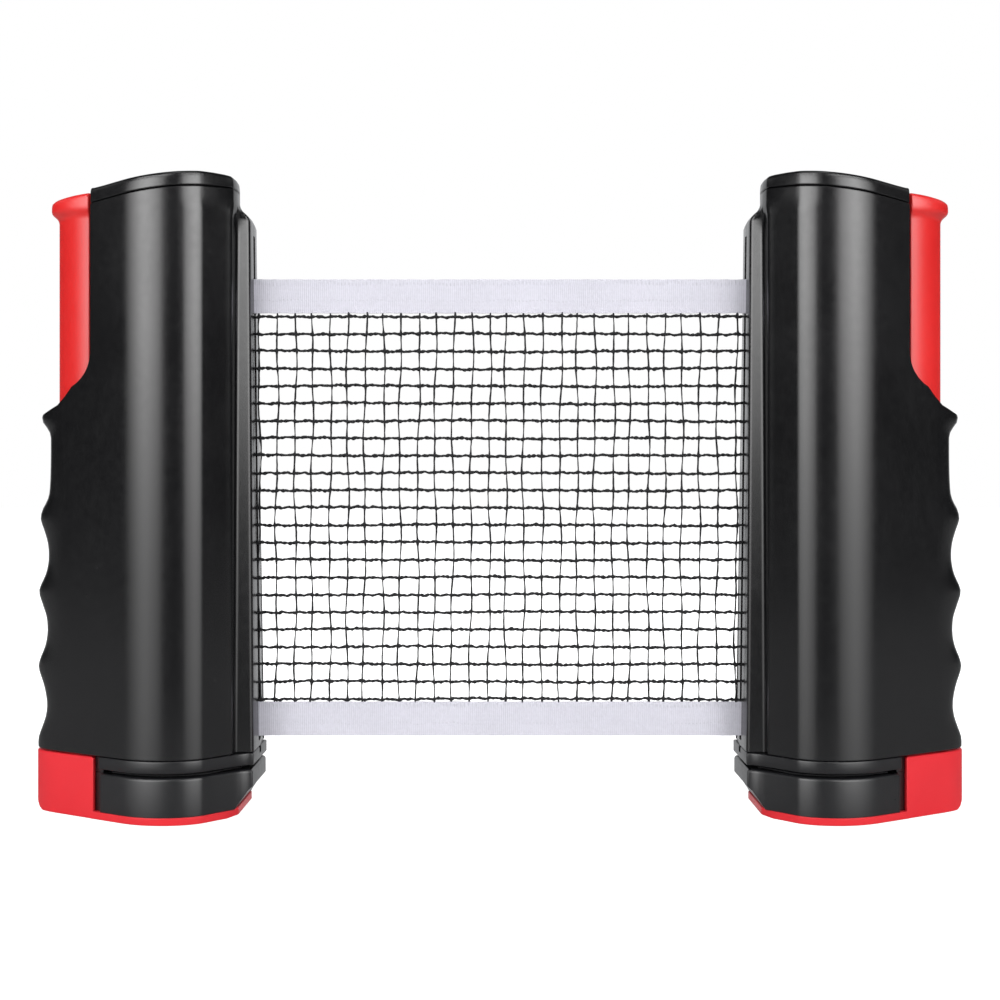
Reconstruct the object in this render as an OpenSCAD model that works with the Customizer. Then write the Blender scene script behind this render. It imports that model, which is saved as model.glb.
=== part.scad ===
// Retractable table tennis net set: two clamp posts with the net between them.
// X runs along the net, Y through the thickness, Z up. The origin is midway between the
// posts, on the surface that the red floor plates stand on. Millimetres.

/* [Net] */
// Gap between the inner faces of the two posts, at the foot
post_gap = 152.4; // [120:0.4:240]
// Height of the net's top edge over the table top
net_rise = 152.5; // [152.5]
// Height of the net itself, with both tapes
net_h = 145; // [135:1:145]
// Height of each white tape
tape_h = 10.8; // [8:0.2:14]
// Thickness of a tape
tape_t = 0.7; // [0.4:0.1:0.8]
// Thickness of the mesh
mesh_t = 0.6; // [0.4:0.1:0.8]
// Gaps in the mesh along the net
mesh_columns = 20; // [10:1:22]
// Gaps in the mesh from tape to tape
mesh_rows = 13; // [8:1:13]
// Width of a mesh cord
cord_w = 0.9; // [0.6:0.1:1.4]

/* [Post] */
// Width of a post along the net
post_w = 70.4; // [68:0.2:76]
// Thickness of a post through its fullest place
post_t = 48.8; // [48:0.2:50]
// Radius of the broad front and back faces
bulge_r = 28; // [26:0.5:30]
// Radius of the post's outer end, in plan
end_r = 7; // [6:0.5:8]
// Width of the flat inner face that the net comes out of
face_w = 22.6; // [20:0.2:24]
// Wall thickness of the shells
wall = 2.1; // [1.8:0.1:2.2]
// Height of the seam over the base cap
seam_z = 19.2; // [19.2]
// Height of the housing's top edge, at its inner side
top_z = 193.2; // [192:0.2:196]
// Slope of the top, down towards the outer end, in degrees
top_slope = 6.4; // [4:0.2:8]
// Thickness of the top cap
cap_t = 4.6; // [4:0.2:5]
// Width of the slot for the net
slot_w = 2.6; // [2.4:0.1:3.2]

/* [Clamp] */
// Height of the clamping face of the base cap over the floor plate's underside
clamp_z = 15; // [15]
// Thickness of the red floor plate
plate_t = 2.3; // [2:0.1:2.4]
// Depth of the clamp's throat
throat = 45.7; // [45:0.1:46]
// Thickness of the rubber pads
pad_t = 1.2; // [0.8:0.1:1.4]
// Outer end of the lever, measured from the post's inner face
lever_x = 63.4; // [63:0.1:63.6]
// Top of the thumb flange
lever_top = 191.8; // [190:0.2:192]
// Radius of the steel guide rod
rod_r = 2.5; // [2:0.1:2.6]

/* [Roller] */
// Radius of the roller tube
tube_r = 5; // [4.8:0.1:5.4]
// Radius of the net wound on it
roll_r = 10.4; // [9.5:0.1:10.5]
// Radius of the fixed axle
axle_r = 1.5; // [1.4:0.1:1.6]

/* [Hidden] */

$fn = 48;
LEFT = -1;
RIGHT = 1;
ink = "#232326";          // satin black plastic
signal = "#e0262b";       // red plastic
rubber = "#3a3a3c";
steel = "#b4b6ba";
cloth = "#e8e7ee";

// Running gaps
gap = 0.05;               // a shaft in its bore
slack = 0.6;              // the lever in its channel
touch = 0.02;             // a part held in a pocket
big = 400;                // reaches past everything

// Heights
net_top = clamp_z + net_rise;
net_bottom = net_top - net_h;
slot_low = net_bottom - 1.2;
slot_high = net_top + 13.5;
shoulder_z = 184.6;       // where the inner ridge starts to fall back to the neck
neck_z = 182;             // top of the roller chamber; the narrower neck is over it
notch_z = 143;            // where the notch for the lever leaves the housing's end wall
beak_z = 124.1;           // the tip over the finger grip
flange_t = 7.3;           // depth of the thumb flange with its underside taper
grip_pitch = 23.1;
grip_low = 22.3;          // lowest ridge of the finger grip
grip_depth = 2.5;
plate_low = 171.8;        // underside of the roller plate
plate_high = 174.8;

// Places along a post, from its inner face outwards
bulge_x = 25;             // fullest place
bulge_y = post_t/2 - bulge_r;
flank_x = 10.8;           // where the inner flank meets the broad face
ridge_x = 3.4;            // depth of the ridge at the inner face
neck_x = 5.2;             // inner end of the neck over the ridge
lean = 0.65;              // the inner face leans back by this angle, in degrees
cavity_x = wall + 1.9;    // the cavity starts here, so that the leaning face keeps its wall
neck_turn = 12;           // the neck's end is flat in front and turns back by this angle, in degrees
neck_turn_y = -6;         // and starts to turn here
neck_hollow_x = neck_x + wall + 4.5;
end_wall_x = 48.4;        // outer face of the housing's end wall, over the notch
partition_x = 45.4;       // inner face of that wall
stem_x = 48.9;            // inner side of the red stem
stem_inset = 3.4;         // the stem's face lies this far inside the post's
stem_end_r = 6;
stem_wall = 2.2;
block_x = throat + 0.5;   // inner face of the red lower block
roller_x = 24.8;
roller_y = roll_r + 0.45; // the net leaves the roll in the plane of the slot
rod_x = 54;
boss_x = 40.4;
boss_z = [34, 96, 158];   // shell screws beside the roller
high_boss = [11.6, 180.5]; // shell screw over the roller
seat_y = 16;              // how far back the screws' heads lie
high_seat_y = 16.5;
boss_r = 3.2;
screw_r = 1.5;
head_r = 3;
head_t = 2;
base_screws_at = [[40.4, 9.5], [40.4, -9.5], [11.2, -13]];
jaw_screws_at = [14, 36];

// Spring shelves: one in the housing, one in the slide
low_shelf = [28, 31];
slide_shelf = [118, 121];
rod_top = 125;

// ---- Plan outline of a post, as arcs that run into each other ----

function arc(c, r, a0, a1, n = 16) =
    [for (i = [0:n]) let (a = a0 + (a1 - a0)*i/n) c + r*[cos(a), sin(a)]];

// Angle of the line that touches both the broad face's arc and the outer end's arc
function touch_angle(c, rc, e, re) =
    let (d = e - c) atan2(d.y, d.x) + acos((rc - re)/norm(d));

// The half of the outline at +Y, set in by g, with its outer end at ex and radius er
function half_outline(g, ex, er) =
    let (c = [bulge_x, bulge_y], rc = bulge_r - g, e = [ex - er, 0],
         a0 = acos((flank_x - bulge_x)/bulge_r), at = touch_angle(c, rc, e, er))
    concat([[g, face_w/2 - 0.5*g], [ridge_x + 0.6*g, face_w/2 + 0.9 - 0.8*g]],
           arc(c, rc, a0, at), arc(e, er, at, 0));

function both_halves(h) =
    concat(h, [for (i = [len(h) - 2:-1:0]) [h[i].x, -h[i].y]]);

module plan(g = 0, ex = post_w, er = end_r) {
    polygon(both_halves(half_outline(g, ex, er)));
}

// The plan between two places along the post
module plan_part(from, to, g = 0, ex = post_w, er = end_r) {
    intersection() {
        plan(g, ex, er);
        translate([from, -post_t]) square([to - from, 2*post_t]);
    }
}

// ---- Placing ----

// Draws a post's part on the right, or mirrored on the left
module at_post(side) {
    mirror([side == LEFT ? 1 : 0, 0, 0]) translate([post_gap/2, 0, 0]) children();
}

module upright(z0, z1) {
    translate([0, 0, z0]) linear_extrude(z1 - z0) children();
}

// A round bar along Y, from y0 to y1
module bar_y(x, z, r, y0, y1) {
    translate([x, y1, z]) rotate([90, 0, 0]) cylinder(r = r, h = y1 - y0);
}

module post_bar(x, y, r, z0, z1) {
    translate([x, y, z0]) cylinder(r = r, h = z1 - z0);
}

module roller_bar(r, z0, z1) {
    post_bar(roller_x, roller_y, r, z0, z1);
}

// Everything over a sloping plane that passes through height z at the neck
module over_slope(z) {
    translate([neck_x, 0, z]) rotate([0, top_slope, 0])
        translate([-big/2, -big/2, 0]) cube([big, big, big]);
}

// What lies past the end of the neck, in plan
module beyond_neck() {
    translate([neck_x - big, -big/2]) square([big, big]);
    translate([neck_x, neck_turn_y]) rotate(-neck_turn) translate([-big, 0]) square([big, big]);
}

// ---- Housing shells ----

// Side view of what the lever's notch takes away
module notch_side() {
    r = 12;
    polygon(concat([[end_wall_x, big]],
        arc([end_wall_x + r, notch_z], r, 180, 248, 8),
        [[61, 127.2], [post_w - 0.9, beak_z], [post_w + 9, beak_z], [post_w + 9, big]]));
}

module finger_valleys() {
    r = (grip_pitch*grip_pitch/4 + grip_depth*grip_depth)/(2*grip_depth);
    for (i = [0:2])
        bar_y(post_w - grip_depth + r, grip_low + (i + 0.5)*grip_pitch, r, -post_t, post_t);
    // The long upper valley, under the beak
    x = post_w - 3.6;
    z0 = grip_low + 3*grip_pitch + 5.4;
    z1 = beak_z - 5.2;
    bar_y(x + 4, z0, 4, -post_t, post_t);
    bar_y(x + 4, z1, 4, -post_t, post_t);
    translate([x, -post_t, z0]) cube([20, 2*post_t, z1 - z0]);
}

module housing_walls() {
    difference() {
        upright(seam_z, top_z) plan();
        upright(seam_z - 1, neck_z) plan_part(cavity_x, partition_x, wall);
        upright(neck_z - 1, top_z + 1) plan_part(neck_hollow_x, partition_x, wall);
        upright(seam_z - 1, top_z + 1)
            plan_part(end_wall_x, post_w, stem_inset - slack, lever_x + slack,
                      stem_end_r + slack);
    }
}

module bosses() {
    for (z = boss_z) bar_y(boss_x, z, head_r + 1.4, -20, 20);
    bar_y(high_boss.x, high_boss.y, head_r + 1.4, -18.4, 18.4);
    for (p = base_screws_at) post_bar(p.x, p.y, boss_r, seam_z, seam_z + 12);
    // Shelf that the clamp spring stands on
    upright(low_shelf[0], low_shelf[1])
        plan_part(end_wall_x - 1, rod_x + 5, stem_inset + stem_wall + slack,
                  lever_x - stem_wall - slack, stem_end_r - stem_wall - slack);
    // Ledges under the roller plate
    upright(plate_low - 2, plate_low) difference() {
        plan_part(cavity_x - 0.5, partition_x + 0.5, wall - 0.5);
        plan_part(cavity_x + 1.4, partition_x - 1.4, wall + 1.4);
    }
}

module housing() {
    difference() {
        union() {
            housing_walls();
            intersection() {
                bosses();
                upright(seam_z, top_z) plan(0.4);
            }
        }
        // Notch for the red lever and the finger grip
        rotate([90, 0, 0]) translate([0, 0, -big/2]) linear_extrude(big) notch_side();
        finger_valleys();
        // Slot for the net, and a clear way for it to the roller
        translate([-1, -slot_w/2, slot_low])
            cube([roller_x, slot_w, slot_high - slot_low]);
        // The inner face leans back a little towards the top
        translate([0, 0, seam_z]) rotate([0, lean, 0])
            translate([-10, -big/2, 0]) cube([10, big, big]);
        // The ridge falls back to the neck, and the neck has no ridge
        translate([1.7, 0, shoulder_z]) rotate([0, 33, 0])
            translate([-10, -big/2, 0]) cube([10, big, 40]);
        upright(shoulder_z + 5.6, big) beyond_neck();
        over_slope(top_z);
        // Screw holes from the back, and the guide rod's seat
        for (z = boss_z) screw_hole(boss_x, z, seat_y);
        screw_hole(high_boss.x, high_boss.y, high_seat_y);
        for (p = base_screws_at)
            post_bar(p.x, p.y, screw_r + touch, seam_z - 1, seam_z + 9);
        post_bar(rod_x, 0, rod_r + touch, low_shelf[0] - 1, low_shelf[1] + 1);
    }
}

// A hole from the back with a counterbore for the screw's head
module screw_hole(x, z, y) {
    bar_y(x, z, screw_r + touch, -9, big/4);
    bar_y(x, z, head_r + 0.3, y, big/4);
}

module front_shell(side) {
    color(ink) at_post(side) intersection() {
        housing();
        translate([-big/2, -big, -big/2]) cube([big, big, big]);
    }
}

module back_shell(side) {
    color(ink) at_post(side) intersection() {
        housing();
        translate([-big/2, 0, -big/2]) cube([big, big, big]);
    }
}

module shell_screws(side) {
    color(steel) at_post(side) {
        for (z = boss_z) shell_screw(boss_x, z, seat_y);
        shell_screw(high_boss.x, high_boss.y, high_seat_y);
    }
}

module shell_screw(x, z, y) {
    difference() {
        union() {
            bar_y(x, z, screw_r, -8, y + 0.5);
            bar_y(x, z, head_r, y + touch, y + head_t);
        }
        for (a = [0, 90])
            translate([x, y + head_t, z]) rotate([0, a, 0]) cube([3.4, 2, 0.7], center = true);
    }
}

// ---- Caps and pads ----

module top_cap(side) {
    rise = cap_t/cos(top_slope);
    color(ink) at_post(side) difference() {
        union() {
            intersection() {
                upright(top_z - 12, top_z + 8) difference() {
                    plan_part(neck_x - 1, end_wall_x);
                    beyond_neck();
                }
                difference() {
                    over_slope(top_z + 0.1);
                    over_slope(top_z + rise);
                }
            }
            // Rim that plugs into the shells
            intersection() {
                upright(top_z - 12, top_z + 8) difference() {
                    plan_part(neck_hollow_x + 0.3, partition_x - 0.3, wall + 0.3);
                    plan_part(neck_hollow_x + 2.1, partition_x - 2.1, wall + 2.1);
                }
                difference() {
                    over_slope(top_z - 3);
                    over_slope(top_z + 1);
                }
            }
        }
        bar_y(high_boss.x, high_boss.y, head_r + 1.8, -20, 20);
    }
}

module base_cap(side) {
    pocket = clamp_z + pad_t;
    color(ink) at_post(side) difference() {
        union() {
            upright(clamp_z + 0.4, seam_z - 0.05) plan_part(0, throat);
            // Rim that plugs into the shells
            upright(seam_z - 1, seam_z + 1.8) difference() {
                plan_part(cavity_x + 0.3, partition_x - 0.3, wall + 0.3);
                plan_part(cavity_x + 1.9, partition_x - 1.9, wall + 1.9);
            }
        }
        // Pocket for the pad, the axle's seat and the screws
        upright(clamp_z - 1, pocket) plan_part(4, throat - 3, 3.4);
        roller_bar(axle_r + touch, pocket + 0.8, seam_z + 1);
        for (p = base_screws_at) {
            post_bar(p.x, p.y, screw_r + touch, clamp_z - 1, seam_z + 2);
            post_bar(p.x, p.y, boss_r + 0.2, seam_z, seam_z + 2);
            post_bar(p.x, p.y, head_r + 0.1, clamp_z - 1, pocket + 1.2);
        }
    }
}

module base_pad(side) {
    color(rubber) at_post(side)
        upright(clamp_z, clamp_z + pad_t - touch) plan_part(4.2, throat - 3.2, 3.6);
}

module base_screws(side) {
    z = clamp_z + pad_t;
    color(steel) at_post(side) for (p = base_screws_at) difference() {
        union() {
            post_bar(p.x, p.y, screw_r, z + 0.5, seam_z + 8);
            post_bar(p.x, p.y, head_r, z + touch, z + 1.2 - touch);
        }
        for (a = [0, 90])
            translate([p.x, p.y, z]) rotate([0, 0, a]) cube([3.4, 0.7, 1.2], center = true);
    }
}

// ---- Clamp slide and lower jaw ----

module stem_plan(g = 0) {
    plan_part(stem_x, post_w, stem_inset + g, lever_x - g, stem_end_r - g);
}

// Side view that rounds the thumb flange and tapers its underside into the stem
module flange_side() {
    z1 = lever_top;
    z0 = z1 - flange_t;
    x1 = lever_x + 2;
    polygon(concat([[stem_x, z0], [lever_x - 1, z0]], [[x1, z0 + 2.8]],
        arc([x1 - 3, z1 - 3], 3, 0, 90, 6), [[stem_x + 6, z1], [stem_x, z1 - 0.5]]));
}

module clamp_slide(side) {
    color(signal) at_post(side) {
        difference() {
            union() {
                upright(plate_t - 0.5, lever_top - 6) stem_plan();
                // Thumb flange
                intersection() {
                    upright(lever_top - 12, lever_top)
                        plan_part(stem_x, post_w, stem_inset, lever_x + 2, stem_end_r);
                    rotate([90, 0, 0]) translate([0, 0, -big/2])
                        linear_extrude(big) flange_side();
                }
                // Lower block
                upright(0, seam_z - 0.4) plan_part(block_x, post_w + 1);
                // Floor plate
                upright(0, plate_t) plan_part(ridge_x + 1.3, block_x + 1, 0.5);
            }
            // The stem is an open channel, with one shelf for the spring to push on
            for (z = [[22, slide_shelf[0]], [slide_shelf[1], lever_top - flange_t]])
                upright(z[0], z[1]) stem_plan(stem_wall);
            post_bar(rod_x, 0, rod_r + gap, slide_shelf[0] - 1, slide_shelf[1] + 1);
            for (x = jaw_screws_at) jaw_screw_hole(x);
        }
    }
}

module jaw_screw_hole(x) {
    post_bar(x, 0, screw_r + touch, -1, plate_t + 1);
    post_bar(x, 0, head_r + 0.1, -1, 1.3);
}

module jaw_block(side) {
    top = clamp_z - 0.9;
    nose_z = 6.5;
    color(ink) at_post(side) difference() {
        union() {
            upright(plate_t, top) plan_part(ridge_x + 2, throat, 0.9);
            // Nose at the inner end
            upright(nose_z, top) plan_part(-1, ridge_x + 6, 0.3);
        }
        upright(clamp_z - 0.5 - pad_t, clamp_z) plan_part(4, throat - 3, 3.4);
        for (x = jaw_screws_at) post_bar(x, 0, screw_r + touch, plate_t - 1, 10);
    }
}

module jaw_pad(side) {
    color(rubber) at_post(side)
        upright(clamp_z - 0.5 - pad_t + touch, clamp_z - 0.5)
            plan_part(4.2, throat - 3.2, 3.6);
}

module jaw_screws(side) {
    color(steel) at_post(side) for (x = jaw_screws_at) difference() {
        union() {
            post_bar(x, 0, screw_r, 1, 9);
            post_bar(x, 0, head_r, 0.1, 1.3 - touch);
        }
        for (a = [0, 90])
            translate([x, 0, 0.1]) rotate([0, 0, a]) cube([3.4, 0.7, 1.2], center = true);
    }
}

module guide_rod(side) {
    color(steel) at_post(side) post_bar(rod_x, 0, rod_r, low_shelf[0] - 3, rod_top);
}

module clamp_spring(side) {
    color(steel) at_post(side) difference() {
        post_bar(rod_x, 0, rod_r + 2, low_shelf[1], slide_shelf[0]);
        post_bar(rod_x, 0, rod_r + 0.5, low_shelf[1] - 1, slide_shelf[0] + 1);
    }
}

// ---- Roller ----

module roller_axle(side) {
    color(steel) at_post(side) roller_bar(axle_r, clamp_z + pad_t + 0.8, plate_high + 1);
}

module roller_plate(side) {
    color(ink) at_post(side) difference() {
        upright(plate_low, plate_high)
            plan_part(cavity_x + 0.3, partition_x - 0.3, wall + 0.3);
        roller_bar(axle_r + touch, plate_low - 1, plate_high + 1);
        // Clear of the upper shell screw's boss
        bar_y(high_boss.x, high_boss.y, head_r + 2.6, -20, 20);
    }
}

module rewind_spring(side) {
    color(steel) at_post(side) difference() {
        roller_bar(tube_r - 1.7, net_bottom + 16, net_top - 16);
        roller_bar(axle_r + 0.8, net_bottom + 15, net_top - 15);
    }
}

module roller_tube(side) {
    color(ink) at_post(side) difference() {
        roller_bar(tube_r, net_bottom - 0.9, net_top + 0.9);
        roller_bar(tube_r - 1, net_bottom - 2, net_top + 2);
    }
}

module roller_bush(z, up) {
    color(ink) difference() {
        translate([0, 0, z]) mirror([0, 0, up ? 0 : 1]) {
            roller_bar(roll_r - 2, 0, 1.4);
            roller_bar(tube_r - 1 - touch, -7, 0.5);
        }
        roller_bar(axle_r + gap, z - 10, z + 10);
    }
}

module lower_bush(side) {
    at_post(side) roller_bush(net_bottom - 0.9 - touch, false);
}

module upper_bush(side) {
    at_post(side) roller_bush(net_top + 0.9 + touch, true);
}

module wound_net(side) {
    color(cloth) at_post(side) difference() {
        roller_bar(roll_r, net_bottom, net_top);
        roller_bar(tube_r + touch, net_bottom - 1, net_top + 1);
    }
}

// ---- Net ----

// The net reaches through both slots to where it leaves the rolls
net_reach = post_gap/2 + roller_x;

module net_band(z0, z1, t) {
    translate([-net_reach, -t/2, z0]) cube([2*net_reach, t, z1 - z0]);
}

module net_mesh() {
    z0 = net_bottom + tape_h + 0.1;
    z1 = net_top - tape_h - 0.1;
    // Clear height and width of one gap, so that cords edge the mesh all round
    open_w = (2*net_reach - cord_w)/mesh_columns - cord_w;
    open_h = (z1 - z0 - cord_w)/mesh_rows - cord_w;
    color("#1b1b1d") rotate([90, 0, 0]) translate([0, 0, -mesh_t/2]) linear_extrude(mesh_t)
        difference() {
            translate([-net_reach, z0]) square([2*net_reach, z1 - z0]);
            for (i = [0:mesh_columns - 1], j = [0:mesh_rows - 1])
                translate([-net_reach + cord_w + i*(open_w + cord_w),
                           z0 + cord_w + j*(open_h + cord_w)])
                    square([open_w, open_h]);
        }
}

module net_top_tape() {
    color(cloth) net_band(net_top - tape_h, net_top, tape_t);
}

module net_bottom_tape() {
    color(cloth) net_band(net_bottom, net_bottom + tape_h, tape_t);
}

front_shell(LEFT);  // left_front_shell
back_shell(LEFT);  // left_back_shell
top_cap(LEFT);  // left_top_cap
base_cap(LEFT);  // left_base_cap
base_pad(LEFT);  // left_base_pad
shell_screws(LEFT);  // left_shell_screws
base_screws(LEFT);  // left_base_screws
guide_rod(LEFT);  // left_guide_rod
clamp_spring(LEFT);  // left_clamp_spring
clamp_slide(LEFT);  // left_clamp_slide
jaw_block(LEFT);  // left_jaw_block
jaw_pad(LEFT);  // left_jaw_pad
jaw_screws(LEFT);  // left_jaw_screws
roller_axle(LEFT);  // left_roller_axle
roller_plate(LEFT);  // left_roller_plate
rewind_spring(LEFT);  // left_rewind_spring
roller_tube(LEFT);  // left_roller_tube
lower_bush(LEFT);  // left_lower_bush
upper_bush(LEFT);  // left_upper_bush
wound_net(LEFT);  // left_wound_net
front_shell(RIGHT);  // right_front_shell
back_shell(RIGHT);  // right_back_shell
top_cap(RIGHT);  // right_top_cap
base_cap(RIGHT);  // right_base_cap
base_pad(RIGHT);  // right_base_pad
shell_screws(RIGHT);  // right_shell_screws
base_screws(RIGHT);  // right_base_screws
guide_rod(RIGHT);  // right_guide_rod
clamp_spring(RIGHT);  // right_clamp_spring
clamp_slide(RIGHT);  // right_clamp_slide
jaw_block(RIGHT);  // right_jaw_block
jaw_pad(RIGHT);  // right_jaw_pad
jaw_screws(RIGHT);  // right_jaw_screws
roller_axle(RIGHT);  // right_roller_axle
roller_plate(RIGHT);  // right_roller_plate
rewind_spring(RIGHT);  // right_rewind_spring
roller_tube(RIGHT);  // right_roller_tube
lower_bush(RIGHT);  // right_lower_bush
upper_bush(RIGHT);  // right_upper_bush
wound_net(RIGHT);  // right_wound_net
net_mesh();
net_top_tape();
net_bottom_tape();
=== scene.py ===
import math
import random

import bpy
from bpy.props import FloatProperty, FloatVectorProperty, IntProperty, PointerProperty
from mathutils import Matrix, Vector


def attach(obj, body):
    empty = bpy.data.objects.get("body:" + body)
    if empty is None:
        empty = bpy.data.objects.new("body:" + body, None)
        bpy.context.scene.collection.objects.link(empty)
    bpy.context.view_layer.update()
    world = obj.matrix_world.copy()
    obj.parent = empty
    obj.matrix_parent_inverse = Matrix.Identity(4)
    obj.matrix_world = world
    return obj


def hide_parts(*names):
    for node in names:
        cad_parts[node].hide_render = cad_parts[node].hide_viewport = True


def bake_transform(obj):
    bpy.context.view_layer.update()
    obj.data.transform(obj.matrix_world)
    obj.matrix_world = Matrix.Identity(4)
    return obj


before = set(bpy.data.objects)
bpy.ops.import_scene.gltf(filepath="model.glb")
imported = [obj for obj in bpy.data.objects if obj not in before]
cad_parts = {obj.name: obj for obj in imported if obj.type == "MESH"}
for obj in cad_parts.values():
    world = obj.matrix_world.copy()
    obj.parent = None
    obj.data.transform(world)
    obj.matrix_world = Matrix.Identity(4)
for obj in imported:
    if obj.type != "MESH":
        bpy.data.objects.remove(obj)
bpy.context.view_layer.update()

bl_info = {
    "name": "Table tennis net set",
    "version": (1, 0, 0),
    "blender": (4, 5, 0),
    "location": "View3D > Sidebar > Net Set",
    "description": "Models a retractable table tennis net between its two clamp posts",
    "category": "Add Mesh",
}

# Sizes and places are in millimetres unless they are multiplied by MM
MM = 0.001
HALF_GAP = 76.2      # from the middle to the posts' inner faces
SIDES = (("right", 1), ("left", -1))

# Heights in a post
SEAM_Z = 19.2
TOP_Z = 193.2
TOP_SLOPE = math.tan(math.radians(6.4))
NOTCH_Z = 143.0
BEAK_Z = 124.1
NET_LOW, NET_HIGH = 22.5, 167.5
TAPE_H = 10.8
PLATE_T = 2.3
JAW_TOP = 14.1
CAP_LOW = 15.4

# Places along a post, from its inner face outwards
NECK_X = 5.2
ROOT_X = 5.8         # where the rib for the net stands on the body
FLANK_X = 10.8
BULGE_X = 25.0
END_WALL_X = 48.4
LIP_X = 49.1         # where the shells and the cap end beside the lever
STEM_X = 49.6
OUTER_X = 70.4
END_R = 7.0

HALF_T = 24.4
WALL = 2.1
LEAN = math.tan(math.radians(0.65))

# Inside
ROLLER_X, ROLLER_Y = 24.8, 10.85
ROLL_R, TUBE_R = 10.4, 5.0
ROD_X = 54.0
BOSS_X = 40.4
BOSS_Z = (34, 96, 158)
HIGH_BOSS = (11.6, 180.5)
BOSS_R = 4.4
SEAT_R = 3.3         # round the head of a shell screw
BOLT_R = 1.55        # holes for the shell screws, and through the bushes
BORE_R = 1.52        # holes for the other screws and the axle
HEAD_R = 3.1         # holes for the heads of the other screws
SEAT_Y, HIGH_SEAT_Y = 16, 16.5
ROOM_END = 45.4
BEYOND = 26          # past a post's broad faces
PLATE_LOW, PLATE_HIGH = 171.8, 174.8
BASE_SCREWS = ((40.4, 9.5), (40.4, -9.5), (11.2, -13))
JAW_SCREWS = (14, 36)
SPRING_LOW, SPRING_HIGH = 31, 118

# The net
FREE = 78.0          # half length of the net that is out at rest, up to inside the slots
DEEP = 100.0         # where the net meets the rolls
PULL = 775.0         # what each roll gives
REACH = DEEP + PULL
STRANDS_Z = (34.1, 155.7)
ROLL_PITCH = 0.33
TAPE_T = 0.6

# Height and outermost place of the finger grip, from the seam to the beak
GRIP = (
    (19.2, 70.4), (22.3, 70.35), (26.2, 69.2), (29.4, 68.3), (32.8, 67.95), (36.2, 68.3),
    (39.5, 69.0), (42.6, 69.95), (44.9, 70.35), (47.1, 69.95), (51.0, 68.6), (53.8, 68.0),
    (56.7, 67.8), (60.5, 68.1), (64.3, 69.2), (68.1, 70.2), (70.0, 69.9), (73.8, 68.4),
    (76.6, 67.7), (79.6, 67.4), (83.4, 67.65), (87.2, 68.6), (90.2, 69.55), (92.0, 69.8),
    (94.8, 69.1), (96.7, 68.1), (98.6, 67.4), (100.5, 67.1), (106.0, 66.8), (115.0, 66.7),
    (117.7, 66.8), (119.6, 67.6), (121.3, 68.8), (122.6, 69.35), (124.4, 69.2), (130.0, 67.0),
)

MATERIALS = {}


# ---------------------------------------------------------------- settings

class NetSetSizes(bpy.types.PropertyGroup):
    bulge: FloatProperty(
        name="Bulge radius", description="Radius of a post's broad faces",
        default=28 * MM, unit="LENGTH")
    end_round: FloatProperty(
        name="End rounding", description="How far the rounding of the outer end reaches in",
        default=11.4 * MM, unit="LENGTH")
    edge: FloatProperty(
        name="Moulded edge", description="Softness of the edges of the moulded parts",
        default=0.4 * MM, unit="LENGTH")
    rib_foot: FloatProperty(
        name="Rib at the foot", description="Half width of the rib for the net, at its foot",
        default=11.3 * MM, unit="LENGTH")
    rib_top: FloatProperty(
        name="Rib at the top", description="Half width of the same rib, at its top",
        default=7.4 * MM, unit="LENGTH")
    strands: IntProperty(
        name="Strands along the net", description="Number of twisted strands from tape to tape",
        default=23, min=8, max=30)
    cell: FloatProperty(
        name="Mesh width", description="Distance between two upright cords of the net",
        default=5.6 * MM, unit="LENGTH")
    yarn: FloatProperty(
        name="Yarn", description="Radius of one of the yarns in a strand",
        default=0.33 * MM, unit="LENGTH")
    cord: FloatProperty(
        name="Upright cord", description="Radius of an upright cord",
        default=0.26 * MM, unit="LENGTH")
    seed: IntProperty(
        name="Seed", description="Seed of the small irregularities of the net", default=7)


class NetSetColours(bpy.types.PropertyGroup):
    black: FloatVectorProperty(
        name="Black plastic", description="Satin black plastic of the posts",
        subtype="COLOR", size=3, default=(0.0036, 0.0036, 0.0042), min=0, max=1)
    lever_red: FloatVectorProperty(
        name="Lever red", description="Red plastic of the lever",
        subtype="COLOR", size=3, default=(0.74, 0.011, 0.010), min=0, max=1)
    base_red: FloatVectorProperty(
        name="Base red", description="Red plastic of the block and floor plate",
        subtype="COLOR", size=3, default=(0.72, 0.02, 0.03), min=0, max=1)
    tape: FloatVectorProperty(
        name="Tape", description="White woven tape",
        subtype="COLOR", size=3, default=(0.61, 0.601, 0.667), min=0, max=1)
    mesh: FloatVectorProperty(
        name="Net yarn", description="Black yarn of the net",
        subtype="COLOR", size=3, default=(0.010, 0.010, 0.011), min=0, max=1)
    floor: FloatVectorProperty(
        name="Floor", description="Pale studio floor",
        subtype="COLOR", size=3, default=(0.78, 0.78, 0.78), min=0, max=1)


def mm(key):
    """A size from the settings, in millimetres."""
    return getattr(bpy.context.scene.net_set_sizes, key) / MM


# ---------------------------------------------------------------- plan outlines

def lerp(a, b, t):
    return a + (b - a) * t


def even(n):
    """Even shares from 0 to 1, in n steps."""
    return [i / n for i in range(n + 1)]


def mixed(p, q, t):
    return (lerp(p[0], q[0], t), lerp(p[1], q[1], t))


def ramp(value, start, length):
    """From 0 at the start to 1 after the length, and flat on both sides."""
    return min(1, max(0, (value - start) / length))


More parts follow.
